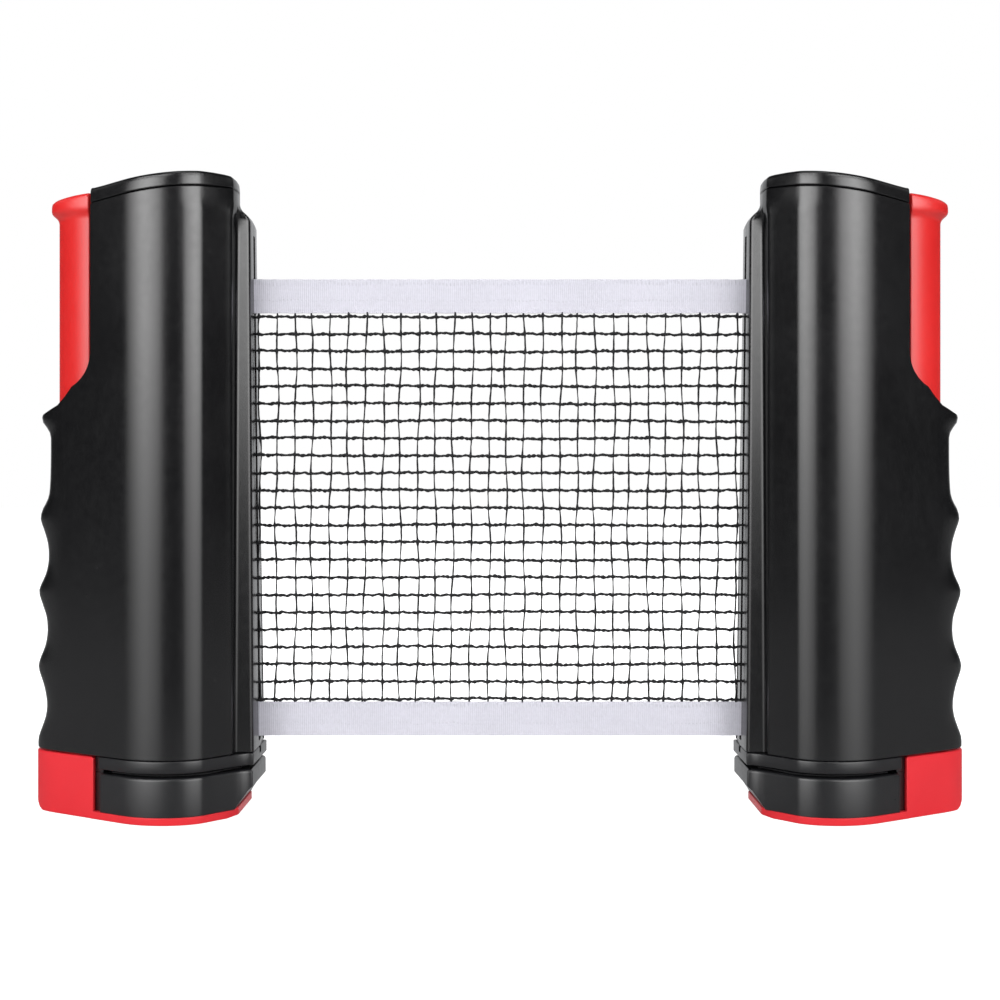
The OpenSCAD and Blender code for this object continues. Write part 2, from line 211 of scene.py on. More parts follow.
def table(rows, z):
    """Value at z from rows of (z, value), on a smooth curve through them."""
    if z <= rows[0][0]:
        return rows[0][1]
    for i in range(len(rows) - 1):
        (z0, v0), (z1, v1) = rows[i:i + 2]
        if z <= z1:
            before, after = rows[max(i - 1, 0)], rows[min(i + 2, len(rows) - 1)]
            m0 = (v1 - before[1]) / (z1 - before[0])
            m1 = (after[1] - v0) / (after[0] - z0)
            h = z1 - z0
            t = (z - z0) / h
            return ((2 * t**3 - 3 * t**2 + 1) * v0 + (t**3 - 2 * t**2 + t) * h * m0
                    + (3 * t**2 - 2 * t**3) * v1 + (t**3 - t**2) * h * m1)
    return rows[-1][1]


def arc(cx, cy, r, a0, a1, n):
    angles = [math.radians(lerp(a0, a1, t)) for t in even(n)]
    return [(cx + r * math.cos(a), cy + r * math.sin(a)) for a in angles]


def curve(p0, p1, p2, p3, n):
    """Points on a cubic curve, without its first one."""
    out = []
    for t in even(n)[1:]:
        shares = ((1 - t) ** 3, 3 * t * (1 - t) ** 2, 3 * t * t * (1 - t), t**3)
        out.append(tuple(sum(c * q[k] for c, q in zip(shares, (p0, p1, p2, p3)))
                         for k in (0, 1)))
    return out


def body_arcs(g=0.0, ex=OUTER_X, er=END_R, n=30, m=12):
    """The broad face and the outer end of a post at +Y, set in by g."""
    radius = mm("bulge")
    cy, rc = HALF_T - radius, radius - g
    start = math.degrees(math.acos((FLANK_X - BULGE_X) / radius))
    dx, dy = ex - er - BULGE_X, -cy
    touch = (math.degrees(math.atan2(dy, dx))
             + math.degrees(math.acos(max(-1, min(1, (rc - er) / math.hypot(dx, dy))))))
    return arc(BULGE_X, cy, rc, start, touch, n) + arc(ex - er, 0.0, er, touch, 0, m)[1:]


def within(g, x0, x1):
    """The part of a post's plain side, set in by g, that lies between two places."""
    return [(x, y) for x, y in body_arcs(g) if x0 < x < x1]


def body_curve():
    """The visible outline at +Y: soft corner, broad face, and a rounded outer end."""
    x_round = OUTER_X - mm("end_round")
    straight = [p for p in body_arcs(n=34, m=2) if 19.95 < p[0] <= x_round - 2]
    last = straight[-1]
    fall = (BULGE_X - last[0]) / (last[1] - HALF_T + mm("bulge"))
    start = (x_round, last[1] + fall * (x_round - last[0]))
    flat = curve(last, mixed(last, start, 0.33), mixed(last, start, 0.67), start, 6)
    end = curve(start, (start[0] + 5.2, start[1] + 5.2 * fall), (OUTER_X, 4.3), (OUTER_X, 0.0),
                14)
    corner = arc(17.13, 16.57, 6.0, 133.5, 121, 4) + arc(23.11, 6.62, 17.6, 121, 100.5, 9)[1:]
    return [(9.8, 17.88), (11.6, 19.59)] + corner + straight + flat + end


def closed(half):
    """Both halves of an outline whose first and last points may lie on y = 0."""
    return half + [(x, -y) for x, y in reversed(half) if abs(y) > 1e-6]


def visible_outline(g=0.0):
    """The whole plan of a post as it is seen, with its rib, set in by g."""
    front = [(0.0, 11.3), (1.2, 11.45), (2.4, 11.85), (3.7, 12.6), (5.2, 13.8), (7.2, 15.6)]
    points = closed(front + body_curve())
    return inset(points, g) if g else points


def plain_outline(g=0.0, ex=OUTER_X, er=END_R):
    half = [(g, 11.3 - 0.5 * g), (3.4 + 0.6 * g, 12.2 - 0.8 * g)]
    return closed(half + body_arcs(g, ex, er))


def clip(points, nx, ny, d):
    """Keeps what lies where nx*x + ny*y >= d."""
    out = []
    for i, p in enumerate(points):
        q = points[(i + 1) % len(points)]
        a = nx * p[0] + ny * p[1] - d
        b = nx * q[0] + ny * q[1] - d
        if a >= 0:
            out.append(p)
        if (a > 1e-9) != (b > 1e-9) and abs(a - b) > 1e-9:
            t = a / (a - b)
            if 1e-6 < t < 1 - 1e-6:
                out.append(mixed(p, q, t))
    return out


def part(outline, x0, x1):
    """What lies between two places along the post."""
    return clip(clip(outline, 1, 0, x0), -1, 0, -x1)


def rounded(points, r, least=18.0, n=4):
    """Rounds the corners of an outline that turn by more than `least` degrees."""
    out = []
    for i, p in enumerate(points):
        a, v, b = (Vector(q) for q in (points[i - 1], p, points[(i + 1) % len(points)]))
        u, w = (a - v), (b - v)
        turn = 180 - math.degrees(u.angle(w)) if u.length and w.length else 0
        if turn < least:
            out.append(p)
            continue
        cut = min(r * math.tan(math.radians(turn) / 2), 0.45 * u.length, 0.45 * w.length)
        s, e = v + u.normalized() * cut, v + w.normalized() * cut
        for t in even(n):
            q = s * (1 - t) ** 2 + v * 2 * t * (1 - t) + e * t**2
            out.append((q.x, q.y))
    return out


def inset(points, d):
    """Moves each side of a mostly convex outline inwards by d."""
    out = []
    count = len(points)
    area = sum(points[i - 1][0] * points[i][1] - points[i][0] * points[i - 1][1]
               for i in range(count))
    turn = 1 if area > 0 else -1
    for i, p in enumerate(points):
        a, v, b = (Vector(q) for q in (points[i - 1], p, points[(i + 1) % count]))
        e0, e1 = (v - a).normalized(), (b - v).normalized()
        n0, n1 = Vector((-e0.y, e0.x)) * turn, Vector((-e1.y, e1.x)) * turn
        n = n0 + n1
        n = n / max(n.length_squared, 0.5) * 2 if n.length else n0
        q = v + n * d
        out.append((q.x, q.y))
    return out


# ---------------------------------------------------------------- modelling helpers

def quiet():
    if bpy.context.mode != "OBJECT":
        bpy.ops.object.mode_set(mode="OBJECT")
    bpy.ops.object.select_all(action="DESELECT")


def take(obj, *more):
    quiet()
    for one in (obj,) + more:
        one.select_set(True)
    bpy.context.view_layer.objects.active = obj


def named(obj, name):
    obj.name = obj.data.name = name
    return obj


def settle(obj):
    """Puts an object's place into its mesh."""
    take(obj)
    bpy.ops.object.transform_apply(location=True, rotation=True, scale=True)
    return obj


def at_post(x, y, z):
    """A point in metres, from its place in the right post."""
    return Vector(((HALF_GAP + x) * MM, y * MM, z * MM))


def place(points, z):
    """Points of a post's plan at a height, which is a number or a function."""
    return [at_post(x, y, z(x, y) if callable(z) else z) for x, y in points]


def loft(name, rings):
    """A solid through rings of equally many points, pulled up ring by ring."""
    quiet()
    count = len(rings[0])
    bpy.ops.mesh.primitive_circle_add(vertices=count, radius=0.01, fill_type="NGON",
                                      location=(0, 0, 0))
    obj = named(bpy.context.object, name)
    for v, co in zip(obj.data.vertices, rings[0]):
        v.co = co
    bpy.ops.object.mode_set(mode="EDIT")
    bpy.ops.mesh.select_mode(type="FACE")
    bpy.ops.mesh.select_all(action="SELECT")
    order = list(range(count))
    for ring in rings[1:]:
        bpy.ops.mesh.extrude_region_move(
            TRANSFORM_OT_translate={"value": (0, 0, 0.001)})
        bpy.ops.object.mode_set(mode="OBJECT")
        verts = obj.data.vertices
        above = {}
        for a, b in (e.vertices for e in obj.data.edges):
            if verts[a].select != verts[b].select:
                low, high = (b, a) if verts[a].select else (a, b)
                above[low] = high
        order = [i if verts[i].select else above[i] for i in order]
        for i, co in zip(order, ring):
            verts[i].co = co
        bpy.ops.object.mode_set(mode="EDIT")
    outward(obj)
    return obj


def prism(name, points, z0, z1, low=0.0, high=0.0):
    """An upright solid, whose lower and upper edges are rounded by `low` and `high`."""
    angles = [math.radians(30 * k) for k in range(4)]
    levels = [(points, z0)]
    if low:
        levels = [(inset(points, low * (1 - math.sin(a))), z0 + low * (1 - math.cos(a)))
                  for a in angles]
    if high:
        levels += [(inset(points, high * (1 - math.cos(a))), z1 - high * (1 - math.sin(a)))
                   for a in angles]
    else:
        levels.append((points, z1))
    return loft(name, [place(*level) for level in levels])


def side_prism(name, points, y):
    """A solid with a side view of (x, z) points, from -y to y."""
    return loft(name, [[at_post(x, way * y, z) for x, z in points] for way in (-1, 1)])


def cylinder(name, at, r, length, n, turn=(0, 0, 0)):
    quiet()
    bpy.ops.mesh.primitive_cylinder_add(vertices=n, radius=r * MM, depth=length * MM,
                                        location=at_post(*at), rotation=turn)
    return settle(named(bpy.context.object, name))


def rod(name, x, y, r, z0, z1, n=32):
    return cylinder(name, (x, y, (z0 + z1) / 2), r, z1 - z0, n)


def rod_y(name, x, z, r, y0, y1, n=32):
    return cylinder(name, (x, (y0 + y1) / 2, z), r, y1 - y0, n, (math.pi / 2, 0, 0))


def applied(obj, kind, **settings):
    """Adds a modifier and applies it."""
    mod = obj.modifiers.new(kind.lower(), kind)
    for key, value in settings.items():
        setattr(mod, key, value)
    take(obj)
    bpy.ops.object.modifier_apply(modifier=mod.name)
    return obj


def carve(obj, cutters, operation="DIFFERENCE"):
    """Applies a boolean with each cutter, and removes the cutters."""
    for cutter in cutters:
        applied(obj, "BOOLEAN", operation=operation, solver="MANIFOLD", object=cutter)
        bpy.data.objects.remove(cutter, do_unlink=True)
    return obj


def soften(obj, width):
    """Rounds the sharp edges with a real bevel."""
    applied(obj, "BEVEL", width=width * MM, segments=2, limit_method="ANGLE",
            angle_limit=math.radians(32), miter_outer="MITER_ARC", use_clamp_overlap=True)


def outward(obj, clean=False):
    """Turns the faces outwards, after merging doubles where the mesh is to be cleaned."""
    take(obj)
    bpy.ops.object.mode_set(mode="EDIT")
    bpy.ops.mesh.select_all(action="SELECT")
    if clean:
        bpy.ops.mesh.remove_doubles(threshold=0.00001)
        bpy.ops.mesh.dissolve_degenerate(threshold=0.00001)
    bpy.ops.mesh.normals_make_consistent(inside=False)
    bpy.ops.object.mode_set(mode="OBJECT")


def tidy_mesh(obj, angle=32):
    """Cleans a mesh and shades it smooth between its edges."""
    outward(obj, clean=True)
    bpy.ops.object.shade_smooth_by_angle(angle=math.radians(angle))


def copy_of(obj, name):
    take(obj)
    bpy.ops.object.duplicate()
    return named(bpy.context.object, name)


def flipped(obj, name):
    """A copy on the other side of x = 0."""
    twin = copy_of(obj, name)
    bpy.ops.transform.resize(value=(-1, 1, 1), center_override=(0, 0, 0))
    bpy.ops.object.transform_apply(location=True, rotation=True, scale=True)
    outward(twin)
    return twin


def wear(obj, *finishes):
    """Gives an object its materials, by their keys."""
    obj.data.materials.clear()
    for key in finishes:
        obj.data.materials.append(MATERIALS[key])


def both_sides(obj, name, angle=32):
    """Finishes a piece of the right post's side and makes its mirror image on the left."""
    tidy_mesh(obj, angle)
    twin = flipped(obj, "left_" + name)
    tidy_mesh(twin, angle)
    return (("right", named(obj, "right_" + name)), ("left", twin))


def finish_pair(obj, name, body, finish, stands_for, angle=32):
    """Finishes a part of the right post, and makes the left post's from it."""
    pair = both_sides(obj, name, angle)
    for side, one in pair:
        wear(one, finish)
        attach(one, side + "_" + body)
        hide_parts(side + "_" + stands_for)
    return pair


def new_mesh(name, verts, faces):
    mesh = bpy.data.meshes.new(name)
    mesh.from_pydata(verts, [], faces)
    mesh.update()
    obj = bpy.data.objects.new(name, mesh)
    bpy.context.scene.collection.objects.link(obj)
    return obj


def spokes(sides, start=0.0):
    """Cosine and sine of the corners' angles of a tube with this many sides."""
    angles = [2 * math.pi * k / sides + start for k in range(sides)]
    return [(math.cos(a), math.sin(a)) for a in angles]


def tubes(name, many):
    """One mesh from several tubes, each given by its rings of points."""
    sides = len(many[0][0])
    verts, faces = [], []
    for rings in many:
        start = len(verts)
        verts += [tuple(p) for ring in rings for p in ring]
        for i in range(len(rings) - 1):
            a, b = start + i * sides, start + (i + 1) * sides
            for k in range(sides):
                n = (k + 1) % sides
                faces.append((a + k, b + k, b + n, a + n))
        faces.append(tuple(range(start, start + sides)))
        faces.append(tuple(range(len(verts) - 1, len(verts) - sides - 1, -1)))
    obj = new_mesh(name, verts, faces)
    take(obj)
    bpy.ops.object.shade_smooth()
    outward(obj)
    return obj


# ---------------------------------------------------------------- materials

SOCKETS = {"Colour": "NodeSocketColor", "Edge normal": "NodeSocketVector"}


def feed(tree, value, socket):
    """Links an output to an input, or sets the input's value."""
    if isinstance(value, bpy.types.NodeSocket):
        tree.links.new(value, socket)
    else:
        socket.default_value = value


def node(tree, kind, **values):
    """A shader node with its settings and inputs, where _ stands for a space."""
    n = tree.nodes.new("ShaderNode" + kind)
    for key, value in values.items():
        socket = n.inputs.get(key.replace("_", " "))
        if socket is None:
            setattr(n, key, value)
        else:
            feed(tree, value, socket)
    return n


def sums(tree, operation, *values, clamp=False):
    n = node(tree, "Math", operation=operation, use_clamp=clamp)
    for socket, value in zip(n.inputs, values):
        feed(tree, value, socket)
    return n.outputs[0]


def stretch(tree, value, a, b, c, d, smooth=False):
    """Maps the range from a to b onto the range from c to d."""
    return node(tree, "MapRange", interpolation_type="SMOOTHSTEP" if smooth else "LINEAR",
                Value=value, From_Min=a, From_Max=b, To_Min=c, To_Max=d).outputs["Result"]


def waves(tree, value, length):
    """A sine of a coordinate with this wavelength."""
    return sums(tree, "SINE", sums(tree, "MULTIPLY", value, 2 * math.pi / length))


def noise(tree, where, scale, detail, roughness=0.5):
    return node(tree, "TexNoise", Vector=where, Scale=scale, Detail=detail,
                Roughness=roughness).outputs["Fac"]


def scaled(tree, colour, by):
    return node(tree, "VectorMath", operation="SCALE", Vector=colour, Scale=by).outputs[0]


def coordinates(tree, kind="Object"):
    """A texture coordinate, and its parts."""
    where = node(tree, "TexCoord").outputs[kind]
    return where, node(tree, "SeparateXYZ", Vector=where).outputs


def joined_shaders(tree, kind, *values):
    n = node(tree, kind)
    for socket, value in zip(n.inputs, values):
        tree.links.new(value, socket)
    return n.outputs[0]


def new_group(name, inputs, outputs):
    """A node group, its input sockets, and a function that feeds its outputs."""
    group = bpy.data.node_groups.new(name, "ShaderNodeTree")
    for way, sockets in (("INPUT", inputs), ("OUTPUT", outputs)):
        for key in sockets:
            socket = group.interface.new_socket(
                name=key, in_out=way, socket_type=SOCKETS.get(key, "NodeSocketFloat"))
            if way == "INPUT":
                socket.default_value = inputs[key]
    given = group.nodes.new("NodeGroupInput").outputs
    out = group.nodes.new("NodeGroupOutput")

    def give(*values):
        for key, value in zip(outputs, values):
            group.links.new(value, out.inputs[key])
        return group

    return group, given, give


def moulded_group():
    """Fine spark grain, faint flow marks and a soft edge for moulded plastic."""
    group, given, give = new_group(
        "moulded finish",
        {"Colour": (0.01, 0.01, 0.01, 1), "Roughness": 0.35, "Grain size": 0.35,
         "Grain height": 0.006, "Mottle": 0.12, "Edge radius": 0.0004},
        ("Colour", "Roughness", "Height", "Edge normal"))
    where = coordinates(group)[0]
    flow = noise(group, where, 38.0, 3.0, 0.55)
    haze = noise(group, where, 420.0, 4.0, 0.65)
    grain = noise(group, where, sums(group, "DIVIDE", 1000.0, given["Grain size"]), 2.0, 0.6)
    # Colour: a little lighter and darker in broad flow marks
    shade = stretch(group, flow, 0.3, 0.7, sums(group, "SUBTRACT", 1.0, given["Mottle"]),
                    sums(group, "ADD", 1.0, given["Mottle"]))
    # Roughness: fine haze over the base value
    rough = sums(group, "ADD", given["Roughness"],
                 stretch(group, haze, 0.25, 0.75, -0.035, 0.035))
    rough = sums(group, "ADD", rough, stretch(group, flow, 0.3, 0.7, -0.02, 0.02), clamp=True)
    edge = node(group, "Bevel", samples=4, Radius=given["Edge radius"])
    return give(scaled(group, given["Colour"], shade), rough,
                sums(group, "MULTIPLY", grain, given["Grain height"]), edge.outputs["Normal"])


def cloth_group():
    """Fine upright ribs, stitch rows and soft lint of a woven tape, with painted shade in the ribs'
    grooves and in the sunk stitches.
    """
    group, given, give = new_group(
        "woven tape",
        {"Colour": (0.8, 0.8, 0.85, 1), "Rib pitch": 0.0008, "Row height": 0.0108,
         "Low edge": 0.0225},
        ("Colour", "Roughness", "Height"))
    where, along = coordinates(group)
    lint = noise(group, where, 900.0, 4.0, 0.7)
    wander = noise(group, where, 160.0, 2.0)
    soft = noise(group, where, 55.0, 2.0)
    # Ribs across the tape
    bent = sums(group, "ADD", along["X"],
                stretch(group, wander, 0.3, 0.7, -0.00012, 0.00012))
    rib = waves(group, sums(group, "DIVIDE", bent, given["Rib pitch"]), 1)
    rib = stretch(group, rib, -1, 1, 0, 1)
    # Weft picks, finer than the ribs
    pick = stretch(group, waves(group, along["Z"], 0.00042), -1, 1, 0, 1)
    # Two rows of stitches, small and uneven
    up = sums(group, "DIVIDE", sums(group, "SUBTRACT", along["Z"], given["Low edge"]),
              given["Row height"])
    up = sums(group, "ADD", up, stretch(group, wander, 0.3, 0.7, -0.05, 0.05))
    stitch = 0.0
    for row, wide, depth in ((0.88, 0.07, 1.0), (0.36, 0.035, 0.8)):
        off = sums(group, "ABSOLUTE", sums(group, "SUBTRACT", up, row))
        line = sums(group, "MULTIPLY", stretch(group, off, wide * 0.3, wide, 1, 0), depth)
        stitch = sums(group, "MAXIMUM", stitch, line)
    dash = stretch(group, waves(group, along["X"], 0.00115), -0.5, 0.4, 0, 1)
    patchy = stretch(group, soft, 0.36, 0.62, 0.1, 1)
    stitch = sums(group, "MULTIPLY", sums(group, "MULTIPLY", stitch, dash), patchy, clamp=True)
    # Colour: painted shade darkens the ribs' grooves and the sunk stitches, following their relief;
    # lint and soft patches add random tone
    light = sums(group, "ADD", stretch(group, rib, 0, 1, 0.93, 1.03),
                 stretch(group, lint, 0.3, 0.7, -0.05, 0.05))
    light = sums(group, "ADD", light, stretch(group, soft, 0.3, 0.7, -0.03, 0.03))
    light = sums(group, "SUBTRACT", light, sums(group, "MULTIPLY", stitch, 0.12))
    height = 0.0
    for layer, share in ((rib, 0.6), (pick, 0.25), (stitch, -0.8), (lint, 0.5)):
        height = sums(group, "ADD", height, sums(group, "MULTIPLY", layer, share))
    return give(scaled(group, given["Colour"], light),
                stretch(group, lint, 0.2, 0.8, 0.75, 0.95), height)


def new_material(name, **looks):
    mat = bpy.data.materials.new(name)
    mat.use_nodes = True
    tree = mat.node_tree
    shader = tree.nodes["Principled BSDF"]
    for key, value in looks.items():
        shader.inputs[key.replace("_", " ")].default_value = value
    return mat, tree, shader


def finished(name, group, settings, bump, strength, **looks):
    """A material whose colour, roughness and bump come from a shared group."""
    mat, tree, shader = new_material(name, **looks)
    fin = node(tree, "Group", node_tree=group, **settings).outputs
    feed(tree, fin["Colour"], shader.inputs["Base Color"])
    feed(tree, fin["Roughness"], shader.inputs["Roughness"])
    relief = node(tree, "Bump", Distance=bump * MM, Strength=strength, Height=fin["Height"])
    if "Edge normal" in fin:
        feed(tree, fin["Edge normal"], relief.inputs["Normal"])
    feed(tree, relief.outputs["Normal"], shader.inputs["Normal"])
    return mat


def moulded(name, colour, roughness, specular, grain=0.35, height=0.05, mottle=0.1,
            edge=0.4, strength=0.6, metallic=0.0):
    settings = {"Colour": (*colour, 1), "Roughness": roughness, "Grain_size": grain,
                "Grain_height": 1.0, "Mottle": mottle, "Edge_radius": edge * MM}
    return finished(name, bpy.data.node_groups["moulded finish"], settings, height, strength,
                    Specular_IOR_Level=specular, Metallic=metallic)


def metal(name, colour, roughness):
    return moulded(name, colour, roughness, 0.5, 0.12, 0.01, 0.08, 0.1, 0.5, 1.0)


def woven(name, colour, low_edge):
    settings = {"Colour": (*colour, 1), "Low_edge": low_edge * MM,
                "Row_height": TAPE_H * MM, "Rib_pitch": 0.62 * MM}
    return finished(name, bpy.data.node_groups["woven tape"], settings, 0.12, 0.8,
                    Specular_IOR_Level=0.2, Sheen_Weight=0.15)


def yarn_material(name, colour):
    mat, tree, shader = new_material(name, Specular_IOR_Level=0.25)
    fibre = noise(tree, coordinates(tree)[0], 2600.0, 3.0, 0.7)
    mix = node(tree, "Mix", data_type="RGBA")
    colours = [s for s in mix.inputs if s.type == "RGBA"]
    colours[0].default_value = (*colour, 1)
    colours[1].default_value = (*(c * 3.2 + 0.004 for c in colour), 1)
    feed(tree, stretch(tree, fibre, 0.42, 0.72, 0, 1), mix.inputs["Factor"])
    feed(tree, [s for s in mix.outputs if s.type == "RGBA"][0], shader.inputs["Base Color"])
    feed(tree, stretch(tree, fibre, 0.3, 0.7, 0.55, 0.85), shader.inputs["Roughness"])
    relief = node(tree, "Bump", Distance=0.08 * MM, Strength=0.7, Height=fibre)
    feed(tree, relief.outputs["Normal"], shader.inputs["Normal"])
    return mat


def make_materials(colours):
    moulded_group()
    cloth_group()
    black, edge = colours.black, mm("edge")
    MATERIALS.update({
        "black": moulded("satin black plastic", black, 0.23, 1.0, height=0.012, edge=edge),
        "black_base": moulded("satin black plastic, base", [2.2 * c for c in black], 0.31, 0.9,
                              height=0.015, edge=edge * 0.8),
        "inner": moulded("matt black plastic, inside", black, 0.5, 0.4, edge=0.2),
        "rubber": moulded("ribbed rubber", (0.025, 0.025, 0.027), 0.72, 0.25,
                          grain=0.6, height=0.12, edge=0.3),
        "lever": moulded("red plastic, lever", colours.lever_red, 0.33, 1.0,
                         mottle=0.04, edge=0.6),
        "block": moulded("red plastic, base", colours.base_red, 0.36, 0.45,
                         mottle=0.04, edge=0.6),
        "steel": metal("zinc plated steel", (0.55, 0.55, 0.57), 0.32),
        "spring": metal("spring steel", (0.38, 0.38, 0.40), 0.28),
        "tape_high": woven("white tape, top", colours.tape, NET_HIGH - TAPE_H),
        "tape_low": woven("white tape, bottom", colours.tape, NET_LOW),
        "yarn": yarn_material("black net yarn", colours.mesh),
    })


# ---------------------------------------------------------------- housing

def slope(x):
    """Height of the housing's sloping top edge."""
    return TOP_Z - (x - NECK_X) * TOP_SLOPE


def rib_front(z):
    """How far the rib's face lies behind the post's inner face, at a height."""
    if z <= 184.6:
        return max(0.0, (z - SEAM_Z) * LEAN)
    rows = ((184.6, 1.87), (185.8, 2.35), (186.9, 3.1), (187.9, 4.1), (188.7, 5.1),
            (189.4, 5.55))
    return min(ROOT_X - 0.25, table(rows, z))


def neck_line(y):
    """Inner end of the neck: flat in front, and turned back behind."""
    return NECK_X if y < -6 else NECK_X + (y + 6) * math.tan(math.radians(12))


def skin_half(z):
    """The housing's outline at +Y and height z, from the rib outwards."""
    root = lerp(ROOT_X, NECK_X, ramp(z, 185, 4))
    front = min(rib_front(z), root - 0.12)
    face = lerp(mm("rib_foot"), mm("rib_top"), ramp(z, SEAM_Z, 160))
    side = face + lerp(0.12, 0.18, ramp(z, 40, 120)) * (root - front)
    side += 2.6 * ramp(z, 181, 7.5) ** 2
    r = min(1.1, (root - front) / 2.6)
    side = min(side, 12.6 - r)
    pts = [(front, 0.0), (front, face * 0.5)] + arc(front + r, face - r, r, 180, 104, 4)
    # Narrow strips at both ends of the rib's side keep it flat to the eye
    fillet = arc(root - r, side + r, r, 284, 360, 4)
    pts += [mixed(pts[-1], fillet[0], 0.08), mixed(pts[-1], fillet[0], 0.9)] + fillet
    pts += [(root, 13.8), (root + 0.1, 14.2), (root + 0.4, 14.6), (root + 0.9, 14.98),
            (7.9, 16.08)]
    # The grip's hollows draw in the outer end
    reach = OUTER_X - table(GRIP, z)
    drop = reach and 0.15 + 1.22 * reach
    return pts + [(x - drop * max(0, (x - 58) / 12.4) ** 2, y) for x, y in body_curve()]


def eased(points, share):
    """The outline with the corners of its inner end rounded softly, by a share."""
    if share <= 0:
        return points
    line = [mixed(p, points[(i + 1) % len(points)], k / 4) for i, p in enumerate(points)
            for k in range(4)]
    out = []
    for x, y in points:
        w = share * ramp(21 - x, 0, 5)
        if w:
            near = [(a, b, math.exp(-((a - x) ** 2 + (b - y) ** 2) / 11.0)) for a, b in line
                    if abs(a - x) < 8 and abs(b - y) < 8]
            total = sum(c for _, _, c in near)
            mean = [sum(row[k] * row[2] for row in near) / total for k in (0, 1)]
            x, y = mixed((x, y), mean, w)
        out.append((x, y))
    return out


def skin_ring(z, g):
    points = eased(closed(skin_half(z)), ramp(z, 186, 4))
    # The rib's back half leans away
    points = [(x + 0.11 * (y - 1.3), y) if x < 0.6 + rib_front(z) and y > 1.3 else (x, y)
              for x, y in points]
    return inset(points, g) if g else points


def housing_skin():
    levels = [(SEAM_Z + 0.05, 0.3), (SEAM_Z + 0.35, 0.0)]
    z = 21.0
    while z < BEAK_Z - 0.1:
        levels.append((z, 0.0))
        z += 1.6
    levels += [(z, 0.0) for z in (125, 128, 134, 142, 150, 158, 165, 171, 174)]
    rings = [place(skin_ring(z, g), z) for z, g in levels]
    # Over this height the levels fan out, from level to the slope of the top edge
    base, rise = 176.0, 17.6
    for t in (0, 0.12, 0.24, 0.36, 0.44, 0.49, 0.53, 0.57, 0.61, 0.65, 0.69, 0.73, 0.77, 0.82,
              0.88, 0.982, 1.0):
        at = base + rise * t
        points = skin_ring(at, 0.3 if t == 1.0 else 0.0)
        w = min(1, (at - 189) / 1.5)
        if w > 0:
            points = [(max(x, neck_line(y) * w + x * (1 - w)), y) for x, y in points]
        rings.append(place(points, lambda x, y, t=t: base + (slope(x) - 0.12 - base) * t))
    return loft("housing", rings)


def shell_room():
    """The room inside the shells, less the screw bosses."""
    side = within(WALL, 12, ROOM_END)
    low = [(4.2, 5.0), (7.9, 5.0), (7.9, 12.6)] + side + [(ROOM_END, 14.0)]
    room = prism("room", clip(closed(low), -1, 0, -ROOM_END), SEAM_Z - 1, 182)
    high = [(12.0, 12.0)] + side + [(ROOM_END, 14.0)]
    carve(room, [prism("neck room", closed(high), 181, TOP_Z + 6)], "UNION")
    places = [(BOSS_X, z) for z in BOSS_Z] + [HIGH_BOSS]
    return carve(room, [rod_y("boss", x, z, BOSS_R, -BEYOND, BEYOND) for x, z in places])


def notch_cutter():
    floor = BEAK_Z - 0.4
    points = [(LIP_X, 230)] + arc(60.6, NOTCH_Z, 60.6 - LIP_X, 180, 246, 18)
    points += [(58.6, 129.4), (61.4, 126.9), (66.0, 124.9), (69.5, floor), (80, floor), (80, 230)]
    return side_prism("notch", points, 40)


def make_shells():
    body = housing_skin()
    tidy_mesh(body)
    channel = prism("channel", part(plain_outline(2.8, 64.0, 6.6), END_WALL_X, OUTER_X), 18, 220)
    slot = prism("slot", [(-2, -2.3), (1.4, -2.3), (2.6, -1.3), (22, -1.3), (22, 1.3), (-2, 1.3)],
                 21.3, 181)
    carve(body, [shell_room(), channel, notch_cutter(), slot])
    for x, z, seat in [(BOSS_X, z, SEAT_Y) for z in BOSS_Z] + [(*HIGH_BOSS, HIGH_SEAT_Y)]:
        carve(body, [rod_y("seat", x, z, SEAT_R, seat, 40),
                     rod_y("bore", x, z, BOLT_R, -9, 40, 20)])
    back = copy_of(body, "back")
    for obj, way, name in ((body, -1, "front"), (back, 1, "back")):
        take(obj)
        bpy.ops.object.mode_set(mode="EDIT")
        bpy.ops.mesh.select_all(action="SELECT")
        bpy.ops.mesh.bisect(plane_co=(0, way * 0.02 * MM, 0), plane_no=(0, 1, 0),
                            use_fill=True, clear_outer=way < 0, clear_inner=way > 0)
        bpy.ops.object.mode_set(mode="OBJECT")
        finish_pair(obj, name + "_moulding", "post", "black",
                    name + "_shell", 30)


